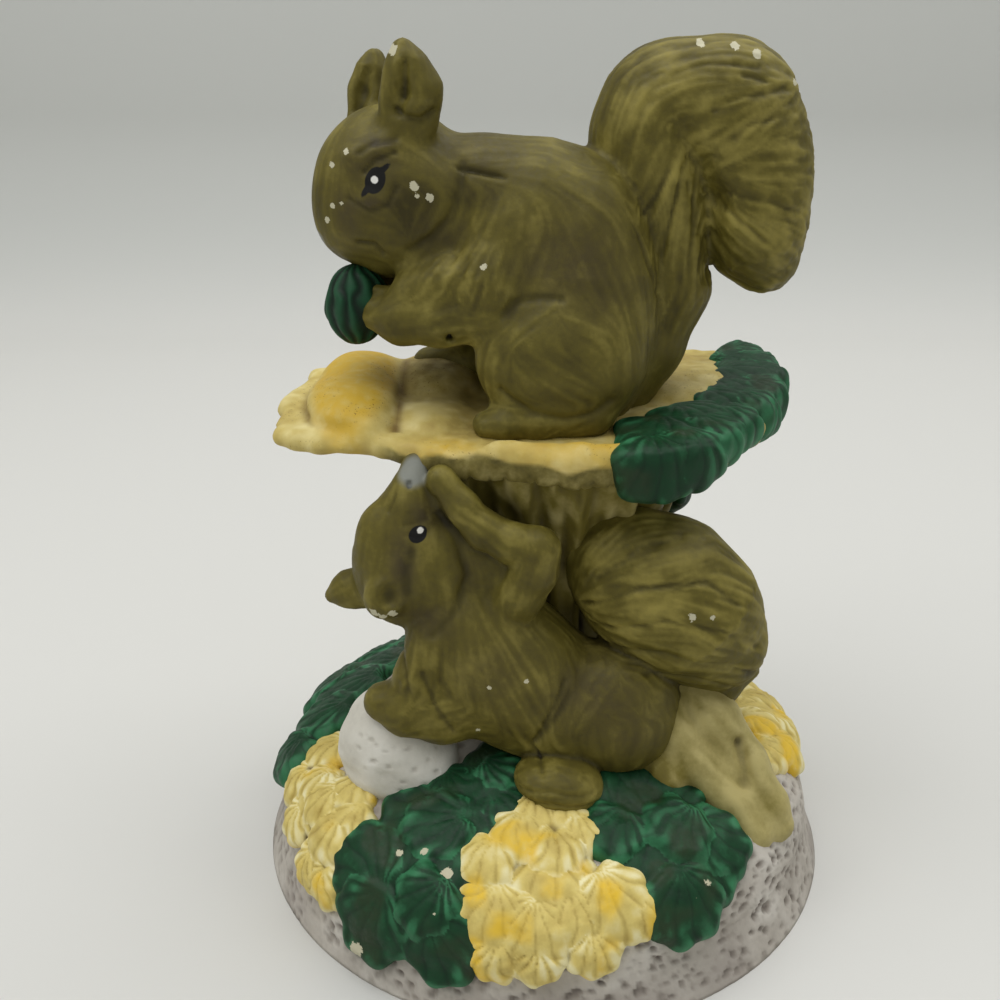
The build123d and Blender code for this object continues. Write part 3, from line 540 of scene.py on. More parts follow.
def upper_strength(x, y, z):
    plume = smooth(9, 16, x + (z - 128) * 0.25) * smooth(100, 108, z)
    face = np.exp(-(((x + 30) / 13) ** 4 + ((z - 131) / 15) ** 4))
    chest = np.exp(-(((x + 14) / 8) ** 2 + ((z - 116) / 9) ** 2))
    return np.maximum(0.06 + 0.11 * plume + 0.13 * chest - 0.045 * face, 0.02)


def upper_near(x, y, z):
    return np.maximum(smooth(4, 0, y), smooth(2, 6, y) * (z > 112))


def upper_tint_and_painted_shade(x, y, z):
    """Lighter paint on the tail; darker paint on the cheek and the haunch, painted shade where they lie in shadow."""
    cheek = np.exp(-(((x + 24) / 7) ** 2 + ((z - 128) / 7) ** 2))
    haunch = np.exp(-(((x - 5) / 9) ** 2 + ((z - 103) / 8) ** 2))
    stem = np.exp(-(((x - 15) / 5) ** 2 + ((z - 141) / 8) ** 2))
    return 0.12 * smooth(14, 20, x) * smooth(112, 124, z) + 0.12 * stem - 0.27 * cheek - 0.14 * haunch


animal(
    "upper_squirrel", upper_squirrel(), UPPER_COMBS, upper_strength, upper_near, upper_tint_and_painted_shade,
    [
        ([(-31.8, 136.6), (-29.3, 138.2), (-25.9, 138.6)], 0.7, 0.55), ([(-31.2, 133.6), (-29.2, 135.4), (-26.0, 136.6)], 0.5, 0.55),
        ([(-34.0, 129.2), (-30.6, 127.2), (-27.4, 128.3), (-25.9, 131.3)], 0.55, 0.45), ([(-33, 121.8), (-30.1, 121.8), (-28.8, 120.0)], 0.45, 0.55),
        ([(-15.2, 134.6), (-15.6, 130.4), (-17.3, 126), (-20.3, 122.9), (-23.9, 120.8)], 0.9, 0.55), ([(30.5, 148.0), (34.4, 147.4)], 0.5, 0.3),
        ([(-15.8, 134), (-8.2, 132.6)], 0.4, 0.5), ([(25.8, 143), (30.7, 145), (38.5, 146)], 0.55, 0.45), ([(26.5, 135.6), (31.1, 140.3), (39, 144)], 0.5, 0.35),
        ([(29.7, 138.2), (33, 140.8), (40, 142.4)], 0.5, 0.3), ([(28.9, 150), (33.2, 149.5)], 0.5, 0.35), ([(29.8, 129.6), (35.4, 128.3), (43, 126.2)], 0.6, 0.35),
        ([(28.3, 127.7), (32.5, 124.5), (36, 121.6)], 0.6, 0.4), ([(18.4, 113.1), (19.3, 121.4), (20.8, 128.8), (21.6, 133.8)], 0.6, 0.4),
        ([(23, 114.8), (24.3, 121.4), (24.2, 126.9), (22.7, 131)], 0.6, 0.4), ([(15.4, 126.3), (17.5, 129.4), (19.3, 133.2)], 0.6, 0.4),
        ([(-8.8, 111.0), (-6.7, 113), (-4.7, 113.7), (-2, 114.1), (1.2, 113.9)], 0.8, 0.6),
        ([(-9, 98.4), (-7, 96.8), (-3.9, 95), (1.6, 93.6), (6.7, 94.5), (10, 96.8)], 0.7, 0.45),
        ([(-24.4, 145), (-24, 150.4)], 0.5, 0.5), ([(-25.6, 143.2), (-24.2, 141.8), (-21.6, 141.4), (-19.6, 142.8)], 0.5, 0.6), ([(-14, 133.8), (-9.4, 133.0)], 0.6, 0.4),
    ],
    # sprays: airbrushed tint round the eye; painted shadow under the jaw, behind the head and in the recess above the
    # haunch; faint patches on the top of the tail
    [(-30, 135, 5.5, 4, 0.70), (-28.8, 138, 3.2, 1.2, 1.0), (-30.8, 128.6, 3.2, 1.4, 0.9), (-34.5, 126.5, 2.2, 5, 0.85), (-19, 123, 5, 3.4, 0.5), (-13, 136, 9, 5, 0.55), (3, 120, 8, 7, 0.8), (8, 115, 6, 5, 0.5),
     (25, 151, 8, 4, 0.25), (16, 150, 6, 4, 0.15)],
    [(-23.0, 131.3, 0.85), (-20.6, 129.4, 0.8), (-22.6, 129.7, 0.5), (-34.1, 136.6, 0.6), (-36.8, 134.4, 0.6), (-37.0, 127.9, 0.6), (-35.4, 128.3, 0.45),
     (-38.2, 125.4, 0.7), (-26.2, 152.0, 1.1), (33, 151.4, 0.9), (29.5, 152.6, 0.8), (24, 153.0, 0.8), (40.2, 147, 0.7), (43.4, 141.6, 0.6), (-11.7, 118.9, 0.7)],
    # ink oval of the eye, the painted glint, the grey nose spot, and ink at the eye's corners
    [(-29.4, 132.2, 1.65, 2.2, -24), (-29.5, 132.3, 0.62, 0.62, 0), (-40.6, 1.2, 121.6, 1.9), (-30.9, 130.7, 1.4, 0.5, 52), (-27.9, 134.0, 1.4, 0.45, 40)],
    ("upper_head", "upper_body", "upper_ear_near", "upper_ear_far", "upper_haunch_near", "upper_haunch_far", "upper_foot_near", "upper_foot_far",
     "upper_arm_near", "upper_arm_far", "upper_forearm_near", "upper_forearm_far", "upper_tail"))


def lower_squirrel():
    clay = Clay((-44, -42, 21), (44, 2, 89), 0.42)
    # torso
    clay.limb([(-20, -16, 62, 7.5, 8), (-15, -16, 56, 10.2, 10), (-10, -16.5, 49, 12.4, 12), (-4.5, -16.5, 43, 12.4, 12.6), (3, -16, 38, 11.5, 12), (10, -15, 36, 9.5, 11)],
              k=2, inner=4)
    # head: cranium, muzzle that points up, cheek and forehead
    clay.blob((-25.2, -16.6, 66.4), (10.0, 9.3, 11.0), k=2)
    clay.limb([(-25.4, -16.8, 70, 8.6, 8.0), (-25.0, -17.8, 76, 5.9, 6.0), (-24.6, -18.8, 80.6, 3.3, 3.6), (-24.5, -19, 83.2, 2.1, 2.3)], k=3, inner=3)
    clay.blob((-19.6, -20.8, 68.2), (5.2, 4.6, 7.4), k=2.2)
    clay.blob((-30.2, -20.0, 73.6), (3.6, 3.4, 5.6), k=3)
    clay.limb([(-24.3, -18.4, 82.4, 2.6, 2.8), (-23.2, -15.6, 85.4, 2.9, 2.8)], k=1.6)
    clay.blob((-24.3, -22.0, 84.1), (0.6, 1.4, 0.6), k=0.4, carve=True)
    clay.blob((-20.2, -19.0, 79.4), (2.6, 2.4, 4.6), k=1.2)
    clay.blob((-15.4, -18.5, 72), (5.0, 4.6, 8.5), k=2)
    clay.blob((-9.5, -19.0, 68.5), (6.0, 4.4, 6.6), k=2)
    # ears
    clay.blob((-28.6, -24.4, 64.6), (4.0, 3.2, 4.4), k=0.9, pitch=-20)
    clay.blob((-27.6, -27.6, 66.0), (2.3, 1.9, 2.6), k=0.8, pitch=-20, carve=True)
    clay.limb([(-32, -14, 61.5, 4.6, 4.2), (-36.6, -14, 60.6, 3.4, 3.2), (-39.8, -14, 59.4, 1.3, 1.3)], k=1.4)
    # arm that reaches up to the ledge
    clay.limb([(-19.0, -20.5, 84.6, 2.6, 2.6), (-15.6, -21.6, 80, 3.0, 3.0), (-11.8, -22.2, 76, 3.2, 3.3), (-7.4, -22.8, 74, 3.4, 3.4), (-3.2, -23, 73.4, 3.6, 3.6)], k=0.9)
    clay.limb([(-2.2, -23, 72.6, 3.8, 3.8), (-3.2, -23, 68.6, 4.0, 4.0), (-5.5, -21.5, 64, 4.4, 4.8), (-9, -18, 58, 6, 7)], k=1.3)
    # forelegs, haunch, foot
    clay.limb([(-12, -20, 42, 7.4, 7.4), (-19.5, -22, 41.0, 6.8, 6.6), (-26, -23, 41.6, 5.4, 5.4), (-30.4, -23, 42.4, 3.4, 3.8)], k=2.0)
    clay.limb([(-21, -22, 55, 4.5, 5), (-23.4, -23, 48, 4.4, 4.6), (-20.5, -23, 42, 4.4, 5)], k=2.0)
    clay.blob((11.2, -18.0, 39.6), (13.4, 10.8, 11.8), k=1.4)
    clay.blob((13.0, -20.5, 35.0), (10.0, 8.6, 8.0), k=3, pitch=10)
    clay.blob((1.6, -30.0, 30.2), (8.2, 7.0, 4.6), k=0.9, pitch=-10)
    # tail: the plume and its fold below
    clay.limb([(13.8, -12.6, 65, 10.8, 9.2), (20, -13.4, 60.6, 13.4, 10.2), (27, -14, 54.5, 12.4, 10.4), (32.2, -13.6, 48.8, 8.2, 8.8)], k=0.8, inner=4)
    clay.limb([(14, -12, 42.4, 4.2, 6.5), (24, -13, 40.0, 3.8, 6.5), (33, -12.4, 40.2, 3.2, 5.8), (38.4, -11, 43.2, 2.2, 4.6)], k=0.7)
    return clay


LOWER_COMBS = [
    ((-25, 82), (-25.4, 74)), ((-31, 74), (-33, 63)), ((-25, 72), (-24, 58)), ((-19, 72), (-18, 62)), ((-36, 61), (-40, 59)),
    ((-16, 81), (-7, 74)), ((-2, 73), (-5, 64)), ((-20, 58), (-21, 46)), ((-15, 57), (-13, 46)), ((-9, 58), (-4, 47)), ((-24, 52), (-25, 44)),
    ((-18, 45), (-29, 44)), ((-12, 40), (-22, 38)), ((-9, 47), (-5, 38)), ((-4, 46), (4, 34)), ((4, 50), (0, 40)), ((12, 50), (6, 42)),
    ((18, 48), (14, 36)), ((10, 40), (12, 30)), ((22, 44), (18, 34)), ((8, 31.6), (-5, 32.4)), ((8, 27.6), (-5, 28.6)),
    ((5, 64), (12, 75)), ((9, 68), (23, 74)), ((8, 62), (22, 67)), ((14, 66), (34, 60)), ((8, 56), (24, 58)), ((22, 60), (38, 51)),
    ((12, 50), (28, 48)), ((26, 51), (38, 46)), ((18, 46), (32, 42)), ((12, 43), (24, 40)), ((26, 39.5), (38, 42)),
]


def lower_strength(x, y, z):
    tail = smooth(3, 7, x) * smooth(-3, 3, z - 51 + 0.4 * (x - 10)) + smooth(24, 27, x)
    chest = np.exp(-(((x + 21) / 8) ** 2 + ((z - 50) / 7) ** 2)) + np.exp(-(((x + 2) / 7) ** 2 + ((z - 42) / 7) ** 2))
    return 0.06 + 0.09 * np.clip(tail, 0, 1) + 0.10 * np.clip(chest, 0, 1) - 0.03 * (z > 56) * (x < -12)


def lower_near(x, y, z):
    return smooth(-13, -17, y)


def lower_light(x, y, z):
    """Lighter paint on the tail."""
    return 0.12 * smooth(4, 10, x) * smooth(46, 54, z)


animal(
    "lower_squirrel", lower_squirrel(), LOWER_COMBS, lower_strength, lower_near, lower_light,
    [
        ([(-29.7, 55.7), (-26.4, 53.4), (-24.9, 47.2)], 0.5, 0.4), ([(-22.5, 50.8), (-20.5, 45.1), (-17.3, 39.9)], 0.6, 0.55),
        ([(2.6, 49), (-1.1, 41.9), (-3.3, 37.2), (-1.6, 34.5)], 0.5, 0.5), ([(-20, 82), (-16.9, 76.5), (-13.5, 72.4), (-9.3, 70.9)], 0.5, 0.35),
        ([(6, 60), (16, 66), (27, 66.5), (33, 62)], 0.55, 0.4), ([(8, 56), (20, 60), (30, 58), (37.5, 52)], 0.55, 0.4),
        ([(9, 52), (20, 53.5), (31, 50.5), (38, 46)], 0.55, 0.4), ([(15, 48.5), (26, 47.5), (34, 43.5)], 0.5, 0.35),
        ([(8, 66), (15, 72), (23, 73)], 0.5, 0.35), ([(-24.6, 76.0), (-22.6, 75.4), (-20.9, 76.2)], 0.35, 0.25),
        ([(-5.6, 31.4), (0, 32.4), (7.4, 30.8)], 0.4, 0.35), ([(-6, 29.2), (0, 30.2), (8, 28.8)], 0.4, 0.35), ([(-5, 27.2), (1, 28.2), (7.6, 26.8)], 0.4, 0.35),
        ([(-26.6, 82.4), (-27.9, 79.6)], 0.35, 0.3), ([(-2.6, 38.4), (3.4, 46.6)], 0.7, 0.5), ([(-25.4, 77.6), (-23.4, 78.0), (-21.4, 78.4)], 0.5, 0.3),
        ([(-19.4, 78.8), (-15.9, 73.6), (-14.5, 68), (-16.6, 62.2), (-20.6, 57.6)], 0.8, 0.5), ([(-24.0, 73), (-25.0, 69.4), (-24.8, 66)], 1.1, 0.5),
    ],
    # sprays: airbrushed tint round the eye and down the cheek groove; painted shadow where parts meet or overhang, such
    # as under the head, beside the cheek and under the tail plume
    [(-21.5, 79, 3.6, 3.4, 0.9), (-25.6, 71, 2.6, 6.5, 0.95), (-22, 60.5, 5, 3.6, 0.8), (-14.5, 68, 2, 7, 0.5), (-10, 52, 7, 6, 0.45), (8, 46, 9, 5, 0.7), (14, 41, 8, 6, 0.5), (-1, 68, 3, 3, 0.3),
     (24, 72, 8, 4, 0.3)],
    [(-30.6, 62.6, 0.9), (-29.2, 61.8, 0.8), (-27.4, 62.4, 0.9), (-10.9, 49.4, 0.5), (-4.4, 50.3, 0.5), (-12.9, 39.5, 0.5), (24.4, 60.9, 0.8), (28.0, 60.6, 0.5)],
    # ink oval of the eye, the painted glint, the grey nose spot, and ink in the nostril
    [(-22.9, 76.0, 1.6, 1.4, 30), (-22.5, 76.6, 0.56, 0.56, 0), (-23.8, -19.4, 85.6, 3.1), (-24.3, 84.0, 0.55, 0.55, 0)],
    ("lower_body", "lower_head", "lower_ear_near", "lower_ear_far", "lower_arm", "lower_forearm", "lower_foreleg", "lower_haunch", "lower_foot", "lower_tail"))


# ---- nut ----

def nut():
    clay = Clay((-42, -8, 101), (-26, 8, 120), 0.33)
    clay.blob((-34.4, 0, 110.2), (5.5, 5.6, 7.2), k=1, pitch=-6)
    piece, p, n, cavity = cast("nut_carved", clay)
    q = (p - np.array([-34.4, 0, 110.2])) / np.array([5.5, 5.6, 7.2])
    turn = np.arctan2(q[:, 1], q[:, 0])
    wave = np.sin(turn * 11 + q[:, 2] * 2.8 + noise(p, 2.6) * 2.4)
    lift = (0.24 * wave + 0.3 * noise(p, 3.4)) * (1 - np.clip(np.abs(q[:, 2]), 0, 1) ** 3)
    set_points(piece, p + n * lift[:, None])
    attribute(piece, "relief", np.clip(0.5 + wave * 0.3, 0, 1))
    attribute(piece, "crease", smooth(-0.3, -0.9, wave) * 0.6)
    attribute(piece, "chip", np.zeros(len(p)))
    painted("nut_paint", (5, 28, 14), (13, 52, 30), (36, 86, 56)).on(piece)
    own(piece, "nut_green", "nut")


nut()


# ---- base: the mound is a shell with a foot ring, open to the floor slab ----

def mound_gap(x, y, z):
    """Height over the mound's smooth skin, along its normal."""
    rho = np.sqrt(x * x + y * y)
    crown = np.sqrt(rho * rho + (z + 66.0) ** 2) - 99.0
    bend = np.sqrt((rho - 40.0) ** 2 + (z - 9.0) ** 2) - 14.0
    return np.where(z < 9, rho - 57.0 + z / 3.0, np.where(rho * 75.0 > (z + 66.0) * 40.0, bend, crown))


def mound():
    around = 620
    turn = np.linspace(0, 2 * math.pi, around, endpoint=False)
    skin = []
    bend = math.atan2(40.0, 75.0)
    for a in np.linspace(0.004, bend, 90):
        skin.append((99.0 * math.sin(a), 99.0 * math.cos(a) - 66.0, 0.35))
    for a in np.linspace(bend, math.pi / 2, 34)[1:]:
        skin.append((40.0 + 14.0 * math.sin(a), 9.0 + 14.0 * math.cos(a), 1.0))
    for t in np.linspace(0, 1, 16)[1:]:
        skin.append((54.0 + 3.0 * t, 9.0 * (1 - t), 1.0 - 0.9 * t ** 4))
    inside = [(52.6, 0.0, 0.0), (52.0, 1.2, 0.0)]
    inside += [(49.6, 9.0, 0.0)] + [(40.0 + 9.6 * math.sin(a), 9.0 + 9.6 * math.cos(a), 0.0) for a in np.linspace(math.pi / 2, bend, 12)[1:]]
    inside += [(94.5 * math.sin(a), 94.5 * math.cos(a) - 66.0, 0.0) for a in np.linspace(bend, 0.004, 22)[1:]]
    rows = np.array(skin + inside)
    x = rows[:, :1] * np.cos(turn)
    y = rows[:, :1] * np.sin(turn)
    z = np.repeat(rows[:, 1:2], around, axis=1)
    p = np.stack([x, y, z], axis=2).reshape(-1, 3)
    weight = np.repeat(rows[:, 2], around)
    count = len(rows)
    i, j = np.meshgrid(np.arange(count - 1), np.arange(around), indexing="ij")
    a, b = (i * around + j).ravel(), (i * around + (j + 1) % around).ravel()
    quads = np.stack([a, a + around, b + around, b], axis=1)
    last = (count - 1) * around
    p = np.vstack([p, [[0, 0, 33.0], [0, 0, 28.5]]])
    weight = np.append(weight, [0, 0])
    ring = np.arange(around)
    triangles = np.vstack([np.stack([np.full(around, len(p) - 2), ring, (ring + 1) % around], axis=1),
                           np.stack([np.full(around, len(p) - 1), last + (ring + 1) % around, last + ring], axis=1)])
    piece = build_mesh("mound_shell", p, quads, triangles)
    n = normals_of(piece)
    bent = p * np.array([1.0, 1.0, 1.5]) + noise(p, 5.0)[:, None] * 1.1
    pit = smooth(0.47, 0.16, cells(bent, 2.5)) * smooth(-0.6, 0.2, noise(p, 6.0) + 0.3)
    small = smooth(0.40, 0.15, cells(bent + 9.0, 1.6))
    lumps = noise(p, 8.0) * 0.5 + noise(p, 3.2) * 0.3 + noise(p, 1.3) * 0.12
    lift = weight * (lumps * 0.62 - 0.75 * pit - 0.22 * small - 0.1)
    set_points(piece, p + n * lift[:, None])
    attribute(piece, "relief", np.clip(0.52 + lumps * 0.45 - pit * 0.35, 0, 1))
    attribute(piece, "crease", np.clip(pit * 0.85 + small * 0.28, 0, 1) * weight)
    attribute(piece, "shade", smooth(0.1, 0.7, noise(p, 14.0)))
    painted("stone_paint", (150, 142, 132), (184, 177, 167), (212, 207, 198), crease=(102, 92, 84), shade=(162, 154, 146), rough=(0.6, 0.78),
            weights=(0.5, 0.34, 0.16)).on(piece)
    own(piece, "base_stone", "base_mound")


mound()

floor_slab = Paint("bisque_floor", 0.75)
tone = floor_slab.math("ADD", floor_slab.math("MULTIPLY", floor_slab.noise(6.0, 4.0), 0.6), floor_slab.math("MULTIPLY", floor_slab.noise(0.8, 3.0), 0.4))
tint = floor_slab.ramp(tone, [(0.3, srgb(176, 168, 158)), (0.55, srgb(205, 200, 192)), (0.75, srgb(220, 217, 210))])
floor_slab.colour(floor_slab.mix(floor_slab.band(floor_slab.noise(14.0, 2.0), 0.52, 0.68, 0.0, 0.5), tint, srgb(150, 138, 118)))
floor_slab.rough(floor_slab.band(tone, 0.3, 0.7, 0.65, 0.82))
floor_slab.bump(tone, 0.4, 0.15)
for piece in bpy.data.objects:
    if piece.name == "base_floor" or piece.name.startswith("base_floor."):
        floor_slab.on(piece)


def white_stone():
    clay = Clay((-43, -32, 15), (-15, -4, 44), 0.42)
    clay.blob((-29, -18, 30), (10.6, 10.0, 11.6), k=2, yaw=20)
    clay.blob((-25, -20, 26), (9.0, 8.0, 8.0), k=4)
    piece, p, n, cavity = cast("white_stone_rough", clay)
    bent = p + noise(p, 3.0)[:, None] * 0.7
    pit = smooth(0.36, 0.12, cells(bent * np.array([0.7, 0.7, 1.3]), 1.9)) * smooth(-0.2, 0.4, noise(p, 5.5))
    lift = noise(p, 5.0) * 0.50 + noise(p * np.array([0.6, 0.6, 1.2]), 1.8) * 0.14 - pit * 0.25
    set_points(piece, p + n * lift[:, None])
    attribute(piece, "relief", np.clip(0.62 + lift * 0.5, 0, 1))
    attribute(piece, "crease", pit * 0.34)
    painted("white_paint", (172, 167, 156), (206, 202, 190), (228, 225, 216), crease=(138, 130, 118), rough=(0.6, 0.75)).on(piece)
    own(piece, "stone_pale", "white_stone")


white_stone()


# ---- stump and ledge ----

TILT = math.tan(math.radians(5.0))
RIM = np.array([(-48.5, -10.5), (-50.5, 3), (-46.5, 21), (-37, 29.5), (-20, 26.5), (0, 30), (20, 33), (37.0, 33.4), (44.5, 27), (46.0, 15), (39.5, -3),
                (27.5, -17.8), (16, -22.5), (3, -22.5), (-10, -20.5), (-22, -17.5), (-31, -14.5), (-40, -14)], float)


def ledge_over(y, z):
    return z - 91.0 - (y - 3.5) * TILT


def rim_gap(x, y):
    """Distance outside the ledge's outline, in plan."""
    best, inside = None, None
    for (ax, ay), (bx, by) in zip(RIM, np.roll(RIM, -1, axis=0)):
        ux, uy = bx - ax, by - ay
        t = np.clip(((x - ax) * ux + (y - ay) * uy) / (ux * ux + uy * uy), 0, 1)
        d = np.sqrt((x - ax - t * ux) ** 2 + (y - ay - t * uy) ** 2)
        best = d if best is None else np.minimum(best, d)
        cross = ((ay > y) != (by > y)) & (x < (bx - ax) * (y - ay) / ((by - ay) + 1e-9) + ax)
        inside = cross if inside is None else inside ^ cross
    return np.where(inside, -best, best)


def slab_gap(x, y, z):
    """Distance from the ledge slab, its rim rounded."""
    across = rim_gap(x, y) + 0.5 * np.sin(x * 0.35 + y * 0.4) + 0.25 * np.sin(x * 1.1 - y * 0.9)
    half = np.interp(x, [-34, -18], [1.5, 2.6])
    level = np.abs(ledge_over(y, z) + half) - half
    return -smooth_min(-across, -level, 2.6) - 0.3


def ledge():
    clay = Clay((-54, -28, 82), (54, 38, 100), 0.5)
    cut, (x, y, z) = clay.part((-54, -28, 82), (54, 38, 100))
    clay.put(cut, slab_gap(x, y, z), 0.5, False)
    # yellow pad with a sharp step on its right, the humps behind it, the hollow beside the foot
    clay.blob((-36.0, 3, 92.4), (8.8, 15.0, 4.4), k=1.4)
    clay.limb([(-38.5, -6, 89.6, 4.0, 5.5), (-32.4, -8, 89.6, 4.2, 5.5)], k=1.4)
    clay.blob((-35.5, 13, 94.0), (7.6, 10.0, 4.0), k=2)
    clay.limb([(-27.2, -17, 91.0, 0.8, 0.9), (-27.0, -4, 93.4, 0.8, 1.2), (-27.0, 12, 95.6, 0.8, 1.2)], k=0.8, carve=True)
    clay.blob((-21.5, 15, 92.6), (8.6, 12.0, 4.4), k=3)
    clay.blob((-22, -2, 90.4), (7.0, 9.0, 2.4), k=3)
    clay.limb([(-12.5, -9, 93.6, 1.4, 1.4), (-14, -13, 92.6, 1.7, 1.7), (-11, -16.6, 91.6, 1.2, 1.2)], k=1.6, carve=True)
    clay.limb([(-9, -19, 88.6, 2.4, 2.2), (4, -20.5, 88.4, 2.6, 2.2), (14, -20, 88.6, 2.2, 2.2)], k=2.0)
    clay.blob((26, 14, 91.4), (12, 12, 2.4), k=4)
    piece, p, n, cavity = cast("ledge_top", clay)
    x, y, z = p.T
    over = ledge_over(y, z)
    ripple = noise(p * np.array([0.6, 1.0, 1.0]), 5.0)
    lift = ripple * 0.42 + noise(p, 1.7) * 0.12 * smooth(-38, -20, x)
    lift -= 0.45 * smooth(0.5, 0.1, np.abs(np.sin(x * 0.9 + noise(p, 4.0) * 1.6))) * smooth(-1.6, -3.0, over) * smooth(0.2, -0.6, n[:, 2]) * smooth(-30, -24, x)
    set_points(piece, p + n * lift[:, None])
    attribute(piece, "relief", np.clip(0.52 + ripple * 0.25 + noise(p, 1.4) * 0.2, 0, 1))
    # crease: darker in hollows and in a line along the yellow pad's step: dirt and painted shade
    attribute(piece, "crease", np.clip(smooth(-0.06, -0.5, cavity) + 0.8 * np.exp(-((x + 27.2) / 0.9) ** 2) * (z > 90) * (y < 16), 0, 1))
    edge = 1.5 * np.sin(x * 0.23 + 1.0) + 0.8 * np.sin(x * 0.71)
    attribute(piece, "bark", np.clip(smooth(-0.5, -1.3, over + edge * 0.4) * smooth(-31, -27, x + 0.6 * edge) * smooth(31, 26, x) * smooth(16, 8, y)
              + smooth(-3.6, -4.4, over) * (x > -26), 0, 1))
    pad = np.clip(1 - np.sqrt(((x + 36) / 8.6) ** 2 + ((y - 3) / 20) ** 2), 0, 1)
    attribute(piece, "shade", np.clip(smooth(0, 0.25, pad) * (x < -27.3) * 0.85 + glow(x, y, [(8, -21, 14, 3, 0.7), (-18, -17, 5, 3, 0.8), (18, 20, 10, 8, 0.25)]), 0, 1))
    # brown patches where the squirrel's feet and body and the leaves stand on the ledge: dirt and painted shade
    attribute(piece, "shadow_and_dirt", np.clip(glow(x, y, [(-22, 12, 7, 12, 0.9), (4, 6, 21, 19, 0.95), (-14, -10, 7, 5, 0.75), (33, 24, 9, 7, 0.5)]) * (x > -27), 0, 1))
    p = painted("ledge_paint", (166, 140, 76), (198, 178, 104), (224, 210, 150), crease=(98, 72, 30), shade=(202, 164, 44), rough=(0.5, 0.66))
    colour = p.shader.inputs["Base Color"].links[0].from_socket
    # brown patches of dirt and painted shade
    shadow_and_dirt = p.math("MULTIPLY", p.attribute("shadow_and_dirt"), p.band(p.noise(3.0, 5.0), 0.35, 0.65, 0.45, 1.0))
    colour = p.mix(shadow_and_dirt, colour, srgb(128, 108, 50))
    specks = p.math("MULTIPLY", p.band(p.noise(0.5, 4.0, 0.7), 0.60, 0.68), p.band(p.noise(11.0, 2.0), 0.50, 0.62))
    colour = p.mix(specks, colour, srgb(104, 72, 22))
    bark = p.ramp(p.noise(3.0, 4.0), [(0.3, srgb(84, 76, 34)), (0.5, srgb(118, 107, 54)), (0.72, srgb(152, 140, 86))])
    p.colour(p.mix(p.attribute("bark"), colour, bark))
    p.on(piece)
    own(piece, "ledge_cream", "ledge_slab", "ledge_knob", "ledge_hump")


ledge()


def stump():
    clay = Clay((-32, -34, 8), (52, 36, 92), 0.55)
    cut, (x, y, z) = clay.part((-32, -26, 24), (38, 36, 90))
    levels = [22, 33, 40, 55, 65, 75, 84, 90]
    wide = np.interp(z, levels, [22, 19.5, 17.5, 15.5, 17.5, 23.0, 29.5, 31])
    deep = np.interp(z, levels, [22, 19.5, 17.5, 15.5, 17.0, 20.5, 24.0, 25])
    dx, dy = x - 2.0, y - 4.0
    turn = np.arctan2(dy, dx)
    share = np.sqrt((dx / wide) ** 2 + (dy / deep) ** 2)
    flute = 0.75 * np.cos(turn * 17 + 0.8 * np.sin(z * 0.16) + 1.4 * np.sin(turn * 2)) + 0.45 * np.cos(turn * 29 + z * 0.05)
    d = (share - 1.0) * np.minimum(wide, deep) - flute
    d = np.maximum(d, ledge_over(y, z) + 3.2) + 0.0 * z
    clay.put(cut, (d * 0.9).astype(np.float32), 1.0, False)
    # the right root: two ridges that part and run down to the rim; a short front root
    clay.limb([(14, -8, 50, 5, 5), (24, -13, 43, 5, 5), (31, -18.5, 36, 4.8, 4.8), (36.5, -22.5, 28.5, 4.5, 4.5), (40.5, -26, 21.5, 4.2, 4.2), (42.4, -27.4, 18.6, 3.4, 3.4)], k=2.0)
    clay.limb([(14, -12, 46, 5, 5), (20.5, -19, 38, 4.6, 4.6), (27, -23.5, 30, 4.2, 4.2), (33.5, -27.0, 23.5, 3.8, 3.8), (38.0, -30.0, 18.6, 3.2, 3.2)], k=1.6)
    clay.limb([(35.2, -23.4, 33.5, 0.7, 1.2), (36.0, -27.4, 28.6, 0.4, 0.8)], k=3.4, carve=True)
    clay.limb([(10, -8, 46, 5, 5), (16, -17, 36, 4.6, 4.6), (22, -26, 27.4, 3.4, 3.4)], k=2.0)
    clay.limb([(-14, 14, 42, 5, 5), (-22, 22, 31, 4.2, 4.2), (-29, 27, 22, 2.8, 2.8)], k=2.5)
    clay.limb([(12, 12, 44, 5, 5), (21, 17, 33.5, 4.2, 4.2), (28.3, 20.4, 27, 2.6, 2.6)], k=2.5)
    piece, p, n, cavity = cast("stump_bark", clay)
    x, y, z = p.T
    root = smooth(20, 27, x) * smooth(52, 44, z)
    grain = noise(p * np.array([1.0, 1.0, 0.22]), 1.5) * (1 - root)
    along = (x * 0.62 - z * 0.78)
    across = np.stack([x * 0.78 + z * 0.62, y * 1.0, along * 0.2], axis=1)
    grain = grain + noise(across, 1.5) * root
    lift = grain * (0.42 - 0.22 * root) + noise(p, 4.0) * 0.30 * (1 - 0.5 * root)
    set_points(piece, p + n * lift[:, None])
    attribute(piece, "relief", np.clip(0.50 + grain * (0.42 - 0.24 * root) + noise(p, 5.0) * 0.14 + 0.40 * root, 0, 1))
    attribute(piece, "crease", smooth(-0.10, -0.65, cavity))
    attribute(piece, "shade", glow(x, z, [(22, 60, 14, 14, 0.6), (0, 66, 14, 6, 0.4)]) * smooth(10, -5, y))
    painted("bark_paint", (76, 67, 22), (116, 105, 44), (178, 165, 108), crease=(44, 36, 12), shade=(82, 73, 34)).on(piece)
    own(piece, "bark_olive", "stump_trunk", "stump_root_right", "stump_root_front", "stump_root_back_left", "stump_root_back_right")


stump()


# ---- sprigged leaves ----

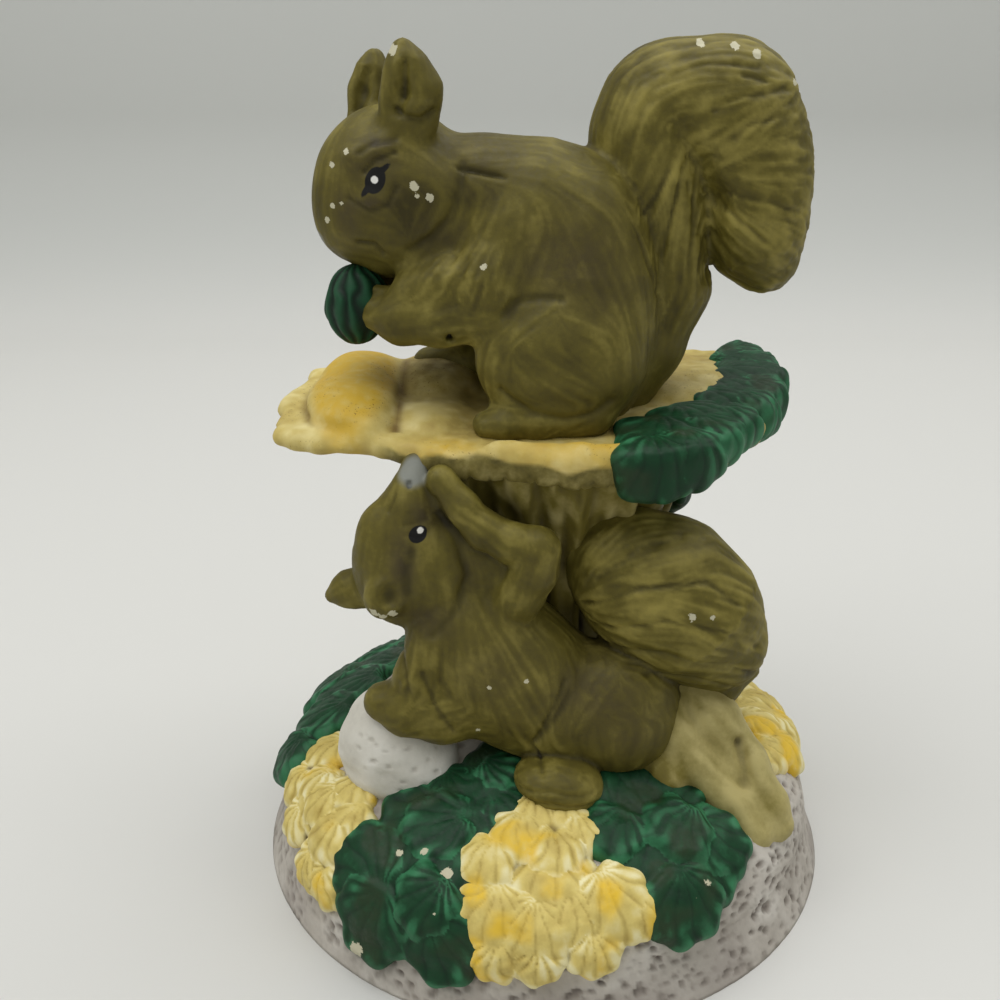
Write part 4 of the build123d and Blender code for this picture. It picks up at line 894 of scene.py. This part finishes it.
def mound_spot(turn, reach):
    """A place on the mound, its normal and the way downhill."""
    r = 54.0 * reach
    a = math.radians(turn)
    out = np.array([math.cos(a), math.sin(a), 0.0])
    if r < 99.0 * 40.0 / 85.0:
        rise, level = math.sqrt(99.0 ** 2 - r * r), -66.0
        n = (out * r + np.array([0, 0, rise])) / 99.0
    else:
        over = min(r - 40.0, 13.6)
        rise, level = math.sqrt(14.0 ** 2 - over * over), 9.0
        n = (out * over + np.array([0, 0, rise])) / 14.0
        r = 40.0 + over
    spot = out * r + np.array([0, 0, rise + level])
    down = out * n[2] - np.array([0, 0, 1.0]) * (n @ out)
    return spot, n, down


class Leaf:
    def __init__(self, spot, normal, down, heading, radius, tier, gap, lift=2.2, lobes=7, flutes=9, rim=0.0):
        a = math.radians(heading)
        side = np.cross(normal, down)
        self.spot, self.normal = spot, normal
        self.u = down * math.cos(a) + side * math.sin(a)
        self.v = np.cross(normal, self.u)
        self.radius, self.tier, self.gap, self.lift, self.lobes, self.flutes, self.rim = radius, tier, gap, lift, lobes, flutes, rim
        self.phase = float(spot[0] * 0.7 + spot[1] * 0.3)

    def local(self, x, y, z):
        dx, dy, dz = x - self.spot[0], y - self.spot[1], z - self.spot[2]
        u = dx * self.u[0] + dy * self.u[1] + dz * self.u[2]
        v = dx * self.v[0] + dy * self.v[1] + dz * self.v[2]
        return u, v, np.sqrt(dx * dx + dy * dy + dz * dz)

    def distance(self, x, y, z):
        u, v, rho = self.local(x, y, z)
        turn = np.arctan2(v, u)
        edge = self.radius * (1 + 0.06 * np.cos(turn * self.lobes + self.phase) + 0.03 * np.cos(turn * 3 + self.phase * 2) - 0.16 * np.exp(-((np.abs(turn) - math.pi) / 0.35) ** 2))
        share = np.minimum(rho / edge, 1.0)
        top = self.tier + 0.8 + (self.lift - 0.8) * (1 - share * share) + self.rim * np.exp(-(((share - 0.86) / 0.13) ** 2))
        w = self.gap(x, y, z)
        return np.maximum(-smooth_min(top - w, (edge - rho) * 0.9, 0.9), -2.4 - w)


def foliage(name, leaves, low, high, flute, tones, slot, nodes, chips=()):
    clay = Clay(low, high, 0.38)
    for leaf in leaves:
        reach = leaf.radius * 1.15 + 3.0
        cut, (x, y, z) = clay.part(leaf.spot - reach, leaf.spot + reach)
        clay.put(cut, np.asarray(leaf.distance(x, y, z), np.float32), 0.35, False)
    piece, p, n, cavity = cast(name, clay)
    x, y, z = p.T
    best = np.full(len(p), 9.0)
    lift, vein, worn = np.zeros(len(p)), np.zeros(len(p)), np.zeros(len(p))
    for leaf in leaves:
        d = leaf.distance(x, y, z)
        mine = d < best
        best = np.where(mine, d, best)
        u, v, rho = leaf.local(x, y, z)
        r = leaf.radius
        turn = np.arctan2(v, u + 0.8 * r)
        reach = np.hypot(u + 0.8 * r, v) / r
        wave = np.abs(np.sin(turn * leaf.flutes / 2 + 0.25 * np.sin(reach * 5 + leaf.phase) + 0.9 * noise(p, 4.0)))
        fade = smooth(0.10, 0.45, reach)
        ridge = (wave ** 0.55 - 0.6) * fade
        lift = np.where(mine, ridge * flute * smooth(1.08, 0.8, rho / r), lift)
        vein = np.where(mine, smooth(0.45, 0.05, wave) * fade, vein)
        streak = smooth(0.45, 0.95, wave) * smooth(-0.5, 0.5, noise(p, 3.4))
        worn = np.where(mine, np.maximum(smooth(0.50, 0.85, rho / r) * streak, smooth(0.84, 0.97, rho / r) * 0.7), worn)
    lift = lift + noise(p, 2.4) * 0.12 + noise(p, 6.0) * 0.25
    set_points(piece, p + n * lift[:, None])
    attribute(piece, "relief", np.clip(0.44 + worn * 0.46 - vein * 0.12 + noise(p, 2.0) * 0.16, 0, 1))
    attribute(piece, "crease", np.clip(smooth(-0.08, -0.5, cavity) + vein * 0.16, 0, 1))
    attribute(piece, "shade", smooth(0.0, 0.5, noise(p, 4.5)) * smooth(0.0, 0.4, noise(p * np.array([1.0, 1.0, 1.0]) + 30.0, 7.0) + 0.25))
    chip = np.zeros(len(p))
    for cx, cy, cz, r in chips:
        chip = np.maximum(chip, 1.3 * np.exp(-((x - cx) ** 2 + (y - cy) ** 2 + (z - cz) ** 2) / (r * r)))
    attribute(piece, "chip", chip)
    painted(name + "_paint", *tones[:3], crease=tones[3], shade=tones[4], weights=(0.62, 0.24, 0.14), rough=tones[5]).on(piece)
    own(piece, slot, *nodes)


GREEN = ((4, 32, 16), (14, 60, 32), (52, 116, 78), (5, 20, 10), (34, 54, 30), (0.46, 0.60))
YELLOW = ((164, 138, 62), (214, 194, 114), (238, 229, 180), (84, 64, 28), (226, 188, 58), (0.5, 0.66))


def on_mound(rows, lift, flutes):
    leaves = []
    for turn, reach, radius, heading, tier in rows:
        spot, normal, down = mound_spot(turn, reach)
        leaves.append(Leaf(spot, normal, down, heading, radius, tier, mound_gap, lift, 7, flutes, 0.5 if lift < 2.5 else 0.0))
    return leaves


foliage("leaves_green_front_left", on_mound([
    (-120, 0.88, 9.4, 0, 0.0), (-112, 0.86, 8.0, 0, 0.1), (-114, 0.70, 8.0, 0, 0.1), (-126, 0.76, 7.4, -60, 0.0), (-106, 0.96, 6.4, 30, 0.3), (-110, 0.57, 7.4, 60, 0.2), (-103, 0.64, 5.6, 60, 0.3), (-119, 0.62, 6.4, 60, 0.1), (-112, 0.49, 6.0, 60, 0.1),
    (-108.5, 0.53, 4.8, 70, 1.2), (-118.5, 0.758, 7.4, -50, 0.9), (-129.5, 0.93, 8.0, -110, 0.6), (-124.5, 1.02, 8.6, -10, 1.0), (-110.4, 1.02, 7.6, 20, 0.9),
    (-114.1, 0.944, 6.4, -30, 1.8)], 2.2, 17),
    (-52, -60, 0), (2, -12, 40), 0.17, GREEN, "leaf_green", ["green_leaves_front_left"],
    chips=[(-18.0, -45.4, 22.8, 1.2), (-22.5, -48, 18.4, 1.3), (-22, -41.6, 24.2, 0.8), (-26.5, -40.6, 23.2, 0.9), (-34, -46, 6.5, 1.6), (-20, -51, 19, 0.6)])
foliage("leaves_green_front_right", on_mound([
    (-66, 0.84, 9.0, -20, 0.0), (-57, 0.88, 8.4, 10, 0.1), (-63, 0.67, 7.0, 180, 0.0), (-53, 0.67, 7.0, 120, 0.2), (-72, 0.60, 6.4, 180, 0.1), (-60, 0.58, 6.4, 160, 0.1), (-74, 0.73, 6.2, -40, 0.8), (-51.6, 0.86, 7.0, 30, 0.9),
    (-64.5, 0.95, 7.8, -5, 1.0), (-58.7, 0.785, 7.0, -60, 1.8)], 2.2, 17),
    (0, -60, 0), (48, -10, 40), 0.17, GREEN, "leaf_green", ["green_leaves_front_right"], chips=[(26.2, -44.6, 20, 0.9), (24, -47, 19, 0.7)])
foliage("leaves_green_back_left", on_mound([
    (148, 0.74, 9.0, -20, 0.0), (166, 0.77, 9.0, 10, 0.6), (179, 0.82, 8.0, 0, 1.2), (-172, 0.93, 6.6, 10, 1.8), (158, 0.93, 8.4, 0, 1.0), (141, 0.93, 7.8, -10, 0.6),
    (132, 0.76, 7.0, -30, 0.6)], 2.2, 17),
    (-62, -22, 0), (-10, 46, 38), 0.17, GREEN, "leaf_green", ["green_leaves_back_left"])
foliage("leaves_green_back", on_mound([
    (62, 0.80, 9.6, 0, 0.0), (76, 0.90, 8.4, -10, 0.6), (50, 0.92, 8.2, 10, 0.8), (66, 0.64, 7.2, 170, 0.6), (62, 0.97, 7.0, 0, 1.5)], 2.2, 17),
    (-6, 12, 0), (48, 62, 38), 0.17, GREEN, "leaf_green", ["green_leaves_back"])
foliage("leaves_yellow_left", on_mound([
    (-152, 0.90, 7.0, 0, 0.0), (-165, 0.82, 5.6, 0, 0.4), (-146, 0.82, 5.6, 0, 0.6), (-156, 0.88, 4.8, 0, 1.0), (-149, 0.89, 5.2, 0, 1.3), (-140, 0.87, 4.8, 0, 0.7),
    (-154, 0.97, 5.0, 0, 0.7), (-141.2, 0.93, 5.6, 0, 1.0), (-143.5, 1.01, 5.2, 0, 0.6), (-138, 1.01, 5.0, 0, 0.8), (-162, 0.93, 5.0, 0, 0.6)], 2.8, 13),
    (-62, -46, 0), (-22, 0, 38), 0.36, YELLOW, "leaf_yellow", ["yellow_leaves_left"])
foliage("leaves_yellow_front", on_mound([
    (-90, 0.86, 8.0, 0, 0.0), (-102, 0.945, 7.4, -8, 0.4), (-93.4, 0.96, 6.8, 0, 0.9), (-86.5, 0.94, 6.4, 5, 0.5), (-78.5, 0.92, 7.2, 14, 0.9), (-74.5, 0.94, 5.0, 25, 0.7),
    (-100.6, 1.01, 5.0, -5, 1.0), (-93, 1.01, 4.8, 0, 1.3), (-83, 0.985, 5.0, 5, 1.1), (-104.5, 0.82, 5.4, -10, 1.0), (-98, 0.73, 5.8, 0, 1.0), (-86, 0.66, 5.4, 0, 0.4), (-94, 0.66, 5.4, 0, 0.5), (-89.4, 0.78, 5.6, 0, 1.5),
    (-83.2, 0.72, 4.8, 0, 0.9)], 2.8, 15),
    (-22, -62, 0), (26, -28, 40), 0.36, YELLOW, "leaf_yellow", ["yellow_leaves_front"])
foliage("leaves_yellow_right", on_mound([
    (3, 0.84, 7.0, 0, 0.0), (10, 0.86, 5.8, 0, 0.7), (-3, 0.82, 5.6, 0, 0.9), (-8, 0.90, 5.6, 0, 1.0), (3, 0.93, 5.6, 0, 1.2), (20, 0.86, 6.0, 0, 0.5), (14, 0.95, 5.6, 0, 1.0),
    (28, 0.92, 5.8, 0, 0.7), (35, 0.84, 6.0, 0, 0.5), (-14, 0.84, 4.8, 0, 0.6)], 2.8, 13),
    (30, -24, 0), (62, 40, 38), 0.36, YELLOW, "leaf_yellow", ["yellow_leaves_right"])
foliage("leaves_yellow_back", on_mound([
    (92, 0.80, 6.6, 0, 0.2), (103, 0.86, 6.6, 0, 0.7), (96, 0.94, 6.0, 0, 1.2), (112, 0.94, 6.0, 0, 0.9), (113, 0.80, 6.2, 0, 0.5), (86, 0.93, 5.6, 0, 0.9)], 2.8, 13),
    (-34, 26, 0), (14, 62, 38), 0.36, YELLOW, "leaf_yellow", ["yellow_leaves_back"])


def on_ledge(rows):
    leaves = []
    for x, y, drop, tip, heading, radius, tier in rows:
        z = 91.0 + (y - 3.5) * TILT - drop
        a, b = math.radians(heading), math.radians(tip)
        out = np.array([math.cos(a), math.sin(a), 0.0])
        normal = np.array([0, 0, math.cos(b)]) + out * math.sin(b)
        down = out * math.cos(b) - np.array([0, 0, math.sin(b)])
        leaves.append(Leaf(np.array([x, y, z]), normal, down, 0, radius, tier, slab_gap, 2.4, 7, 15, 0.2))
    return leaves


foliage("leaves_ledge_front", on_ledge([
    (20.5, -14.5, 0.0, 25, -80, 10.0, 0.2), (26.5, -7.5, 0.0, 18, -55, 9.0, 0.3), (17.0, -20.5, 2.0, 50, -85, 7.6, 0.8), (23.0, -18.0, 1.6, 46, -70, 6.6, 1.0),
    (28.0, -11.5, 0.6, 36, -52, 6.0, 0.9), (32.5, -6.5, 0.4, 34, -46, 5.6, 0.7)]),
    (2, -34, 74), (44, 8, 100), 0.22, GREEN, "leaf_green", ["ledge_leaves_front"])
foliage("leaves_ledge_end", on_ledge([
    (33.5, 1.5, 0.0, 14, -45, 7.4, 0.3), (36.0, 6.5, 0.0, 14, -45, 8.6, 0.2), (39.5, 15.0, 0.0, 14, -15, 8.2, 0.4), (41.0, 24.5, 0.0, 10, 10, 7.2, 0.3),
    (37.0, 1.0, 0.8, 32, -40, 5.8, 0.8), (38.5, 3.0, 2.2, 50, -36, 5.6, 1.0), (40.5, 7.5, 0.8, 32, -28, 5.8, 1.0), (42.5, 15.5, 0.8, 34, -15, 6.0, 0.8), (42.5, 22.0, 0.8, 30, 0, 5.6, 1.0), (41.0, 28.0, 0.6, 30, 20, 5.4, 0.8)]),
    (24, -14, 76), (58, 38, 102), 0.22, GREEN, "leaf_green", ["ledge_leaves_end"])


def hanging_leaf():
    clay = Clay((16, -2, 60), (40, 24, 90), 0.38)
    clay.limb([(27.5, 8, 86, 3.0, 7.0), (27.2, 9, 78, 2.6, 6.6), (26.0, 10, 71, 2.2, 5.4), (24.8, 10.6, 66, 1.2, 2.4)], k=1.0, inner=3)
    piece, p, n, cavity = cast("leaf_hanging", clay)
    x, y, z = p.T
    wave = np.abs(np.sin(np.arctan2(y - 9, 90 - z) * 12))
    set_points(piece, p + n * (0.35 * (wave ** 0.6 - 0.6) + noise(p, 3.0) * 0.2)[:, None])
    attribute(piece, "relief", np.clip(0.40 + 0.2 * (wave - 0.5) + noise(p, 2.0) * 0.1, 0, 1))
    attribute(piece, "crease", smooth(0.3, 0.05, wave) * 0.4)
    painted("hanging_paint", *GREEN[:3], crease=GREEN[3], rough=GREEN[5]).on(piece)
    own(piece, "leaf_green", "ledge_leaf_hanging")


hanging_leaf()

# ---- floor, light, camera ----


def setting():
    path = [(-1.2, 0.0)] + [(y, 0.0) for y in np.linspace(0.2, 0.42, 12)]
    path += [(0.42 + 0.12 * math.sin(a), 0.12 - 0.12 * math.cos(a)) for a in np.linspace(0.08, math.pi / 2, 20)]
    path += [(0.54, 2.2)]
    points = np.array([(side * 2.2, y, z) for y, z in path for side in (-1, 1)]) / MM
    quads = np.array([(2 * n, 2 * n + 1, 2 * n + 3, 2 * n + 2) for n in range(len(path) - 1)])
    sweep = build_mesh("sweep", points, quads)
    # the sweep's upright part is painted greyer than its floor: painted shade for the light that falls off up the wall
    attribute(sweep, "painted_wall_shade", [smooth(0.38, 0.60, y + z) for y, z in path for side in (-1, 1)])
    p = Paint("sweep_paint", 0.8)
    p.colour(p.mix(p.attribute("painted_wall_shade"), srgb(210, 209, 205), srgb(188, 189, 185)))
    p.on(sweep)
    world = bpy.data.worlds.new("studio")
    bpy.context.scene.world = world
    world.use_nodes = True
    sky = world.node_tree.nodes["Background"]
    sky.inputs["Color"].default_value = (*srgb(222, 224, 222), 1)
    sky.inputs["Strength"].default_value = 0.62
    for name, place, turn, size, power in (
            ("key", (-0.32, -0.10, 0.78), (0.30, -0.38, 0), 0.7, 3.4), ("back", (0.34, 0.26, 0.85), (-0.30, 0.32, 0), 1.0, 5.8)):
        lamp = bpy.data.lights.new(name, "AREA")
        lamp.size, lamp.energy = size, power
        light = bpy.data.objects.new(name, lamp)
        light.location, light.rotation_euler = place, turn
        bpy.context.scene.collection.objects.link(light)
    camera = bpy.data.objects.new("camera", bpy.data.cameras.new("camera"))
    camera.location, camera.rotation_euler = (-0.009, -0.1916, 0.150), (math.radians(68), 0, 0)
    camera.data.lens, camera.data.sensor_width, camera.data.clip_start = 38.95, 36, 0.005
    bpy.context.scene.collection.objects.link(camera)
    bpy.context.scene.camera = camera
    bpy.context.scene.view_settings.view_transform = "Standard"


setting()
